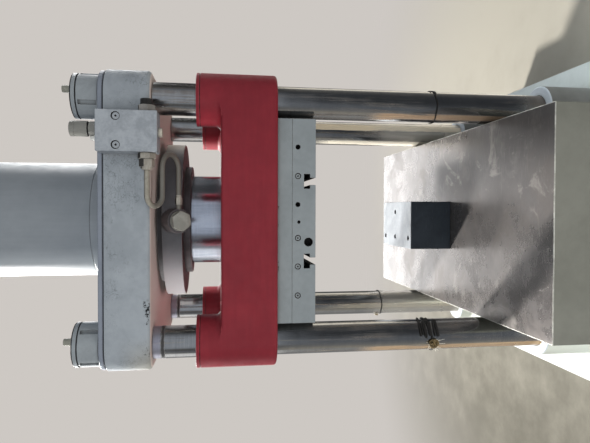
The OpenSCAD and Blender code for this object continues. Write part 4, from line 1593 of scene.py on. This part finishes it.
fittingSet = {"plugRadius": 0.0135, "plugEdge": 0.003, "adapterAcross": 0.045, "tubeNutAcross": 0.0381,
              "endNutAcross": 0.0199, "hoseThread": 0.018, "hoseBore": 0.0095, "threadPitch": 0.002,
              "threadDepth": 0.0011, "hoseHex": 0.020, "tube": 0.008, "tubeNutNose": 0.008,
              "turns": {"adapter": 5, "tubeNut": -15, "hose": -17}}


def hexTurn(name):
    return Matrix.Rotation(math.radians(fittingSet["turns"][name]), 4, "Z")


def buildFittings():
    tube = fittingSet["tube"]
    low, high = boxOf("valve_plug")
    height = high.z - low.z
    bm = bmesh.new()
    radius = fittingSet["plugRadius"]
    edge = fittingSet["plugEdge"]
    rings = [(0, 0), (radius - 0.001, 0), (radius - 0.001, 0.001), (radius, 0.0015)]
    rings += roundedOff(radius, height, edge, edge, 3) + [(0, height)]
    addPart(bm, spin(rings, 48), facing((0, 0, -1), (*middleOf("valve_plug").to_2d(), high.z)))
    finishPiece("valvePlugRound", bm, [beigePaint], fixedBody, ["valve_plug"])
    low, high = boxOf("tube_adapter")
    middle = middleOf("tube_adapter")
    length = high.x - low.x
    rings = [(tube, 0)] + hexRings(fittingSet["adapterAcross"], 0, length) + [(tube, length)]
    bm = addPart(bmesh.new(), spin(rings, 72, closed=True),
                 facing((-1, 0, 0), (high.x, middle.y, middle.z)) @ hexTurn("adapter"))
    finishPiece("tubeAdapterHex", bm, [zincSteel], fixedBody, ["tube_adapter"])
    low, high = boxOf("tube_nut")
    length = high.x - low.x
    nose = fittingSet["tubeNutNose"]
    across = fittingSet["tubeNutAcross"]
    rings = [(tube, 0)] + hexRings(across, 0, length - nose)
    rings += [(across * 0.46, length - nose), (across * 0.44, length - nose * 0.5),
              (across * 0.36, length - nose * 0.12), (across * 0.3, length), (tube, length)]
    bm = addPart(bmesh.new(), spin(rings, 72, closed=True),
                 facing((-1, 0, 0), (high.x, middle.y, middle.z)) @ hexTurn("tubeNut"))
    finishPiece("tubeNutHex", bm, [zincSteel], fixedBody, ["tube_nut"])
    low, high = boxOf("tube_end_nut")
    middle = middleOf("tube_end_nut")
    length = high.x - low.x
    across = fittingSet["endNutAcross"]
    rings = [(tube, 0)] + hexRings(across, 0, length * 0.72, bevelLow=False)
    rings += [(across * 0.46, length * 0.72), (across * 0.45, length * 0.9), (across * 0.4, length),
              (tube, length)]
    bm = addPart(bmesh.new(), spin(rings, 72, closed=True),
                 facing((1, 0, 0), (low.x, middle.y, middle.z)))
    finishPiece("tubeEndNutHex", bm, [zincSteel], fixedBody, ["tube_end_nut"])
    low, high = boxOf("hose_adapter")
    middle = middleOf("hose_adapter")
    length = high.x - low.x
    thread = fittingSet["hoseThread"]
    depth = fittingSet["threadDepth"]
    pitch = fittingSet["threadPitch"]
    rings = [(fittingSet["hoseBore"], 0)] + hexRings(fittingSet["adapterAcross"], 0,
                                                     fittingSet["hoseHex"])
    place = fittingSet["hoseHex"]
    rings += [(thread - depth * 1.3, place), (thread - depth * 1.3, place + 0.002)]
    place += 0.003
    while place + pitch < length - 0.001:
        rings += [(thread, place), (thread - depth, place + pitch / 2)]
        place += pitch
    rings += [(thread - depth * 0.4, place), (thread - depth * 1.2, length),
              (fittingSet["hoseBore"] + 0.002, length), (fittingSet["hoseBore"], length - 0.002)]
    bm = addPart(bmesh.new(), spin(rings, 72, closed=True),
                 facing((1, 0, 0), (low.x, middle.y, middle.z)) @ hexTurn("hose"),
                 lambda middle: middle.z > fittingSet["hoseHex"])
    finishPiece("hoseAdapterThread", bm, [hexSteel, threadSteel], fixedBody,
                ["hose_adapter"])


buildValveBlock()
buildReliefValve()
buildFittings()

tubeSet = {"radius": 0.008, "leftTurn": 0.076, "rightTurn": 0.160, "secondLeg": (0.047, -0.038),
           "end": 0.034, "turnSteps": 24}


def uTurn(x, first, last, side):
    # Half a turn in the plane of X and the line between two runs of the tube
    middle = (first + last) / 2
    half = (first - last) / 2
    steps = tubeSet["turnSteps"]
    points = []
    for k in range(steps + 1):
        angle = math.pi * k / steps
        level = middle + half * math.cos(angle)
        points.append((x + side * half.length * math.sin(angle), level.x, level.y))
    return points


def buildTube():
    start = middleOf("tube_nut").yz
    finish = middleOf("tube_end_nut").yz
    second = start + Vector(tubeSet["secondLeg"])
    path = [(boxOf("tube_adapter")[1].x, *start)]
    path += uTurn(tubeSet["leftTurn"], start, second, -1)
    path += uTurn(tubeSet["rightTurn"], second, finish, 1)
    path.append((tubeSet["end"], *finish))
    finishPiece("returnTube", sweep(path, tubeSet["radius"], 24), [tubeSteel], fixedBody,
                ["s_tube"], smooth=50)


portSet = {"tilt": 25, "radius": 0.0385, "length": 0.050, "edge": 0.003, "washer": 0.031,
           "washerHeight": 0.004, "across": 0.0554, "hexHeight": 0.024, "hexTurn": 8, "dome": 0.0015}


def buildPort():
    flange = boxOf("barrel_flange")
    tilt = math.radians(portSet["tilt"])
    direction = (0, -math.cos(tilt), -math.sin(tilt))
    root = Vector((0, flange[0].y, flange[0].z + flangeSet["height"] / 2 - 0.007))
    edge = portSet["edge"]
    length = portSet["length"]
    radius = portSet["radius"]
    rings = [(0, -0.012), (radius, -0.012), (radius, length - edge),
             (radius - edge * 0.3, length - edge * 0.3), (radius - edge, length), (0, length)]
    # The boss gets the dark steel as painted shade
    bm = addPart(bmesh.new(), spin(rings, 96), facing(direction, root))
    finishPiece("portBossTurned", bm, [darkSteel], fixedBody, ["port_boss"])
    washer = portSet["washer"]
    step = length + portSet["washerHeight"]
    top = length + portSet["hexHeight"]
    rings = [(0, length - 0.001), (washer, length - 0.001), (washer, step - 0.001),
             (washer - 0.001, step)]
    hexagon = hexRings(portSet["across"], step, top - portSet["dome"])
    rings += hexagon + [(portSet["across"] * 0.36, top - portSet["dome"] * 0.4),
                        (portSet["across"] * 0.2, top), (0, top)]
    bm = addPart(bmesh.new(), spin(rings, 96),
                 facing(direction, root) @ Matrix.Rotation(math.radians(portSet["hexTurn"]), 4, "Z"))
    finishPiece("portPlugHex", bm, [portSteel], fixedBody, ["port_plug"])


buildTube()
buildPort()
print("valve block, tube and port built")

# Tool block with tapped holes

blockSet = {"edge": 0.0025, "holeRadius": 0.00875, "chamfer": 0.0015, "depth": 0.045,
            "holes": ((-0.050, -0.135), (-0.050, 0.015), (-0.050, 0.135), (0.050, 0.015))}


def buildToolBlock():
    low, high = boxOf("tool_block")
    middle = (low + high) / 2
    body = softBox(low, high, blockSet["edge"])
    for face in body.faces:
        face.material_index = int(face.calc_center_median().z > high.z - 0.001)
    cutters = bmesh.new()
    radius = blockSet["holeRadius"]
    mouth = radius + blockSet["chamfer"]
    depth = blockSet["depth"]
    for dx, dy in blockSet["holes"]:
        rings = [(0, -depth - radius * 0.5), (radius, -depth), (radius, -blockSet["chamfer"]), (mouth, 0),
                 (mouth, past), (0, past)]
        # Deep in the hole the walls get the near-black finish: painted shade
        addPart(cutters, spin(rings, 40), moved(middle.x + dx, middle.y + dy, high.z),
                lambda spot: 2 * (spot.z < -0.003))
    finishPiece("toolBlock", body, [blockSteel, blockTopSteel, seamGrimeAndShade], fixedBody,
                ["tool_block"], cutters)


buildToolBlock()
print("tool block built")

# Twine and rings left around the columns

tieSet = {"front": {"column": "fl", "ring": (0.918, 0.942, 0.0028),
                    "bundle": (0.908, 0.968, 11, (-88, -20)), "knot": (-112, 0.925, 0.021, 18),
                    "hairs": (-122, 0.928, 14, 0.030)},
          "rear": {"column": "rl", "ring": (0.901, 0.906, 0.0022), "bundle": None,
                   "knot": (-165, 0.915, 0.010, 6), "hairs": (-172, 0.920, 6, 0.016)},
          "right": {"column": "fr", "ring": (0.916, 0.920, 0.0022),
                    "bundle": (0.912, 0.924, 2, (-40, 15)), "knot": None, "hairs": None}}


def aroundColumn(key, start, end, low, high, thick, lean=0.0):
    # A path that lies on the column between two angles in degrees
    x, y = columnAt[key]
    reach = columnRadius + thick * 0.7 + lean
    steps = max(12, int(abs(end - start) / 5))
    path = []
    for k in range(steps + 1):
        angle = math.radians(start + (end - start) * k / steps)
        swing = (high - low) / 2 * math.cos(angle - math.radians(start))
        height = (low + high) / 2 + swing + 0.0012 * math.sin(angle * 5)
        path.append((x + reach * math.cos(angle), y + reach * math.sin(angle), height))
    return path


def looseHair(start, out, long, thick):
    # A frayed end that stands out from the tie and droops
    turn = random.uniform(0, 2 * math.pi)
    aside = Vector((-out.y, out.x, 0)) * math.cos(turn) + Vector((0, 0, math.sin(turn)))
    droop = Vector((0, 0, random.uniform(0.1, 0.5) * long))
    path = [start + (out * 0.35 + aside * 0.9) * long * t - droop * t * t
            for t in (0, 0.25, 0.5, 0.75, 1)]
    return sweep(path, [thick, thick * 0.9, thick * 0.8, thick * 0.6, thick * 0.3], 5)


def buildTie(name, setting):
    key = setting["column"]
    x, y = columnAt[key]
    low, high, thick = setting["ring"]
    bm = sweep(aroundColumn(key, 0, 360, low, high, thick), thick, 8)
    if setting["bundle"]:
        foot, top, count, (first, last) = setting["bundle"]
        for k in range(count):
            level = foot + (top - foot) * (k + 0.5) / count
            middle = (first + last) / 2 + random.uniform(-10, 10)
            reach = (last - first) / 2 * random.uniform(0.55, 1.2)
            tilt = random.uniform(-0.012, 0.012)
            wide = thick * random.uniform(0.7, 1.3)
            path = aroundColumn(key, middle - reach, middle + reach, level, level + tilt, wide, 0.0008)
            addPart(bm, sweep(path, wide, 8))
    if setting["knot"]:
        turn, height, size, count = setting["knot"]
        out = Vector((math.cos(math.radians(turn)), math.sin(math.radians(turn)), 0))
        centre = Vector((x, y, height)) + out * (columnRadius + size * 0.35)
        for k in range(count):
            axis = Vector([random.gauss(0, 1) for i in range(3)]).normalized()
            side = axis.orthogonal().normalized()
            across = axis.cross(side)
            reach = size * random.uniform(0.35, 0.55)
            shift = Vector([random.uniform(-0.25, 0.25) * size for i in range(3)])
            loop = [centre + shift + reach * (side * math.cos(t * 0.5) + across * math.sin(t * 0.5))
                    for t in range(12)]
            addPart(bm, sweep(loop, thick * 0.55, 6), None, 1)
    if setting["hairs"]:
        turn, height, count, long = setting["hairs"]
        for k in range(count):
            angle = math.radians(turn + random.uniform(-16, 16))
            out = Vector((math.cos(angle), math.sin(angle), 0))
            level = height + random.uniform(-0.012, 0.012)
            start = Vector((x, y, level)) + out * (columnRadius + thick * 0.6)
            addPart(bm, looseHair(start, out, long * random.uniform(0.6, 1.2), 0.0009), None, 2)
    finishPiece(name, bm, [darkTwine, brownTwine, paleTwine], fixedBody, smooth=60)


buildTie("frontColumnTie", tieSet["front"])
buildTie("rearColumnTie", tieSet["rear"])
buildTie("rightColumnTie", tieSet["right"])
print("ties built")

# Floor, surroundings and lamps

studio = {"floorRadius": 14.0, "floorTone": (156, 152, 141), "floorDark": (84, 82, 75),
          "floorShade": (-0.9, 2.0), "backTone": (205, 200, 195), "floorNear": 1.3, "floorFar": 3.8,
          "diffuse": 0.52, "ceiling": 0.35, "evenTone": (0.92, 0.98, 1.06, 1)}
# Where one band of the sky passes into the next, in degrees above the horizon
skyBands = {"high": (6, 11), "upper": (18, 24), "ceiling": (44, 64)}
tints = {"plain": (1.0, 1.0, 1.0), "cool": (0.90, 0.97, 1.09), "cream": (1.0, 0.93, 0.80)}

# What polished metal shows of the studio: bright windows with dark flags between them. Each stop is the
# azimuth in degrees from the front (positive to the right), the level and, if there is one, the tint. High
# is seen by the cylinder and the crown, level by the rod and the upper columns, and low is the floor, seen
# by the lower columns
highStops = ((-180, 5.8), (-155, 5.8), (-140, 4.4), (-120, 3.2), (-92, 1.6), (-72, 0.7),
             (-58, 0.4, "cool"), (-20, 0.38, "cool"), (25, 0.42, "cool"), (50, 0.34, "cool"), (70, 0.3),
             (98, 0.5), (108, 2.4), (118, 7.0), (146, 7.0), (160, 5.6), (180, 5.8))
levelStops = ((-180, 0.25), (-146, 0.25), (-138, 0.4), (-124, 0.4), (-116, 1.25), (-87, 1.25),
              (-80, 0.25), (-62, 0.22, "cool"), (-56, 0.12), (-44, 0.16), (-36, 0.45, "cool"),
              (-22, 0.55, "cool"), (36, 0.5, "cool"), (48, 0.38, "cool"), (60, 0.22, "cool"), (76, 0.05),
              (100, 0.04), (160, 0.05), (180, 0.25))
lowStops = ((-180, 0.08), (-156, 0.08), (-138, 0.32), (-112, 0.34), (-98, 0.45), (-86, 0.45),
            (-70, 0.45, "cream"), (-52, 0.28), (-30, 0.2, "cool"), (-12, 0.19, "cool"), (2, 0.11, "cool"),
            (18, 0.07, "cool"), (34, 0.06, "cool"), (66, 0.07, "cool"), (84, 0.12), (106, 0.25),
            (114, 1.5, "cream"), (126, 1.5, "cream"), (136, 0.2), (180, 0.08))
upperStops = ((-180, 0.1), (-168, 0.3), (-150, 0.6), (-110, 0.35), (0, 0.32), (100, 0.25),
              (140, 0.04, "cool"), (168, 0.04, "cool"), (180, 0.1))
mostLight = 8.0


def rampOf(tree, azimuth, stops):
    # The level around the horizon. A colour ramp holds at most 1, so the levels are shares of the most
    share = addNode(tree, "MapRange",
                    {"Value": azimuth, "From Min": -180.0, "From Max": 180.0}).outputs[0]
    ramp = addNode(tree, "ValToRGB", {0: share})
    places = ramp.color_ramp.elements
    places.remove(places[1])
    for i, (angle, level, *tint) in enumerate(stops):
        stop = places[0] if i == 0 else places.new((angle + 180) / 360)
        stop.position = (angle + 180) / 360
        stop.color = (*(level / mostLight * part for part in tints[tint[0] if tint else "plain"]), 1)
    return ramp.outputs[0]


def azimuthOf(tree, across, along):
    turn = maths(tree, "ARCTAN2", across, times(tree, along, -1.0))
    return times(tree, turn, 180 / math.pi)


def buildFloor():
    bm = bmesh.new()
    bmesh.ops.create_circle(bm, cap_ends=True, segments=128, radius=studio["floorRadius"])
    mesh = bpy.data.meshes.new("studioFloor")
    bm.to_mesh(mesh)
    bm.free()
    floor = bpy.data.objects.new("studioFloor", mesh)
    scene.collection.objects.link(floor)
    finish, tree, body = newFinish("floorFinish", Roughness=0.9, Specular_IOR_Level=0.0)
    where = objectPlace(tree)
    grain = noise(tree, where, 5.0, 6, 0.6)
    # Painted shade: darker to the left, with lighter patches
    at = axesOf(tree, where)
    wearAndShade = plus(tree, at["X"], times(tree, grain, 1.6))
    shade = spread(tree, wearAndShade, *studio["floorShade"])
    setColour(tree, body, mixed(tree, shade, tone(*studio["floorDark"]), tone(*studio["floorTone"])))
    away = addNode(tree, "VectorMath", {0: where}, operation="LENGTH").outputs["Value"]
    glow = addNode(tree, "Emission", {"Color": tone(*studio["backTone"]), "Strength": 1.0}).outputs[0]
    fade = spread(tree, away, studio["floorNear"], studio["floorFar"])
    blend = addNode(tree, "MixShader", {0: fade, 1: body.outputs[0], 2: glow}).outputs[0]
    azimuth = azimuthOf(tree, at["X"], at["Y"])
    colour = rampOf(tree, azimuth, lowStops)
    mirrored = addNode(tree, "Emission", {"Color": colour, "Strength": mostLight}).outputs[0]
    glossy = addNode(tree, "LightPath").outputs["Is Glossy Ray"]
    seen = addNode(tree, "MixShader", {0: glossy, 1: blend, 2: mirrored}).outputs[0]
    tree.links.new(seen, tree.nodes["Material Output"].inputs["Surface"])
    mesh.materials.append(finish)


def buildWorld():
    world = bpy.data.worlds.new("studioWorld")
    scene.world = world
    world.use_nodes = True
    tree = world.node_tree
    tree.nodes.clear()
    rays = addNode(tree, "LightPath").outputs
    direction = addNode(tree, "TexCoord").outputs["Generated"]
    at = axesOf(tree, direction)
    azimuth = azimuthOf(tree, at["X"], at["Y"])
    height = times(tree, addNode(tree, "Math", {0: at["Z"]}, operation="ARCSINE").outputs[0],
                   180 / math.pi)
    colour = mixed(tree, spread(tree, height, *skyBands["high"]), rampOf(tree, azimuth, levelStops),
                   rampOf(tree, azimuth, highStops))
    colour = mixed(tree, spread(tree, height, *skyBands["upper"]), colour,
                   rampOf(tree, azimuth, upperStops))
    level = studio["ceiling"] / mostLight
    colour = mixed(tree, spread(tree, height, *skyBands["ceiling"]), colour, (level, level, level, 1))
    mirrored = addNode(tree, "Background", {"Color": colour, "Strength": mostLight}).outputs[0]
    even = addNode(tree, "Background",
                   {"Color": studio["evenTone"], "Strength": studio["diffuse"]}).outputs[0]
    back = addNode(tree, "Background", {"Color": tone(*studio["backTone"]), "Strength": 1.0}).outputs[0]
    lit = addNode(tree, "MixShader", {0: rays["Is Glossy Ray"], 1: even, 2: mirrored}).outputs[0]
    seen = maths(tree, "MAXIMUM", rays["Is Camera Ray"], rays["Is Transmission Ray"])
    shown = addNode(tree, "MixShader", {0: seen, 1: lit, 2: back}).outputs[0]
    output = addNode(tree, "OutputWorld")
    tree.links.new(shown, output.inputs["Surface"])


def addLamp(name, setting):
    data = bpy.data.lights.new(name, setting["kind"])
    if setting["kind"] == "AREA":
        data.size = setting["size"]
    else:
        data.shadow_soft_size = setting["size"]
        data.spot_size = math.radians(setting["cone"])
        data.spot_blend = 0.25
    data.energy = setting["power"]
    data.color = setting["colour"]
    lamp = bpy.data.objects.new(name, data)
    line = Vector(setting["target"]) - Vector(setting["place"])
    aim = line.to_track_quat("-Z", "Y").to_matrix().to_4x4()
    lamp.matrix_world = Matrix.Translation(setting["place"]) @ aim
    lamp.visible_camera = False
    lamp.visible_glossy = setting["mirrored"]
    scene.collection.objects.link(lamp)


# The window behind on the left throws the shadows; two spots from behind light the edges of the upper parts
lamps = {"window": {"kind": "AREA", "place": (-2.95, 3.05, 4.1), "target": (0, 0, 1.1), "size": 0.4,
                    "power": 760, "colour": (1.0, 0.97, 0.93), "mirrored": True},
         "rearGlow": {"kind": "AREA", "place": (-0.9, 3.6, 1.9), "target": (0, 0.3, 0.8), "size": 2.0,
                      "power": 40, "colour": (1.0, 0.99, 0.97), "mirrored": False},
         "frontFill": {"kind": "AREA", "place": (-0.8, -4.1, 1.9), "target": (0, 0, 1.4), "size": 2.4,
                       "power": 66, "colour": (1.0, 0.98, 0.95), "mirrored": False},
         "lowBounce": {"kind": "AREA", "place": (-0.3, -1.6, 0.3), "target": (0, 0, 1.8), "size": 1.2,
                       "power": 12, "colour": (1.0, 0.98, 0.95), "mirrored": False},
         "leftSun": {"kind": "SPOT", "place": (-4.6, 2.1, 1.9), "target": (-0.15, 0, 1.9), "size": 0.2,
                     "cone": 21, "power": 1600, "colour": (1.0, 0.97, 0.90), "mirrored": False},
         "rightSun": {"kind": "SPOT", "place": (3.3, 3.8, 2.1), "target": (0.15, 0, 1.9), "size": 0.2,
                      "cone": 20, "power": 2300, "colour": (1.0, 0.98, 0.94), "mirrored": False},
         "baseGlow": {"kind": "SPOT", "place": (3.5, 0.6, 1.2), "target": (0.75, -0.35, 0.15),
                      "size": 0.4, "cone": 15, "power": 900, "colour": (0.95, 1.0, 1.0),
                      "mirrored": False}}


buildFloor()
buildWorld()
for lampName, lampSet in lamps.items():
    addLamp(lampName, lampSet)
print("studio built")
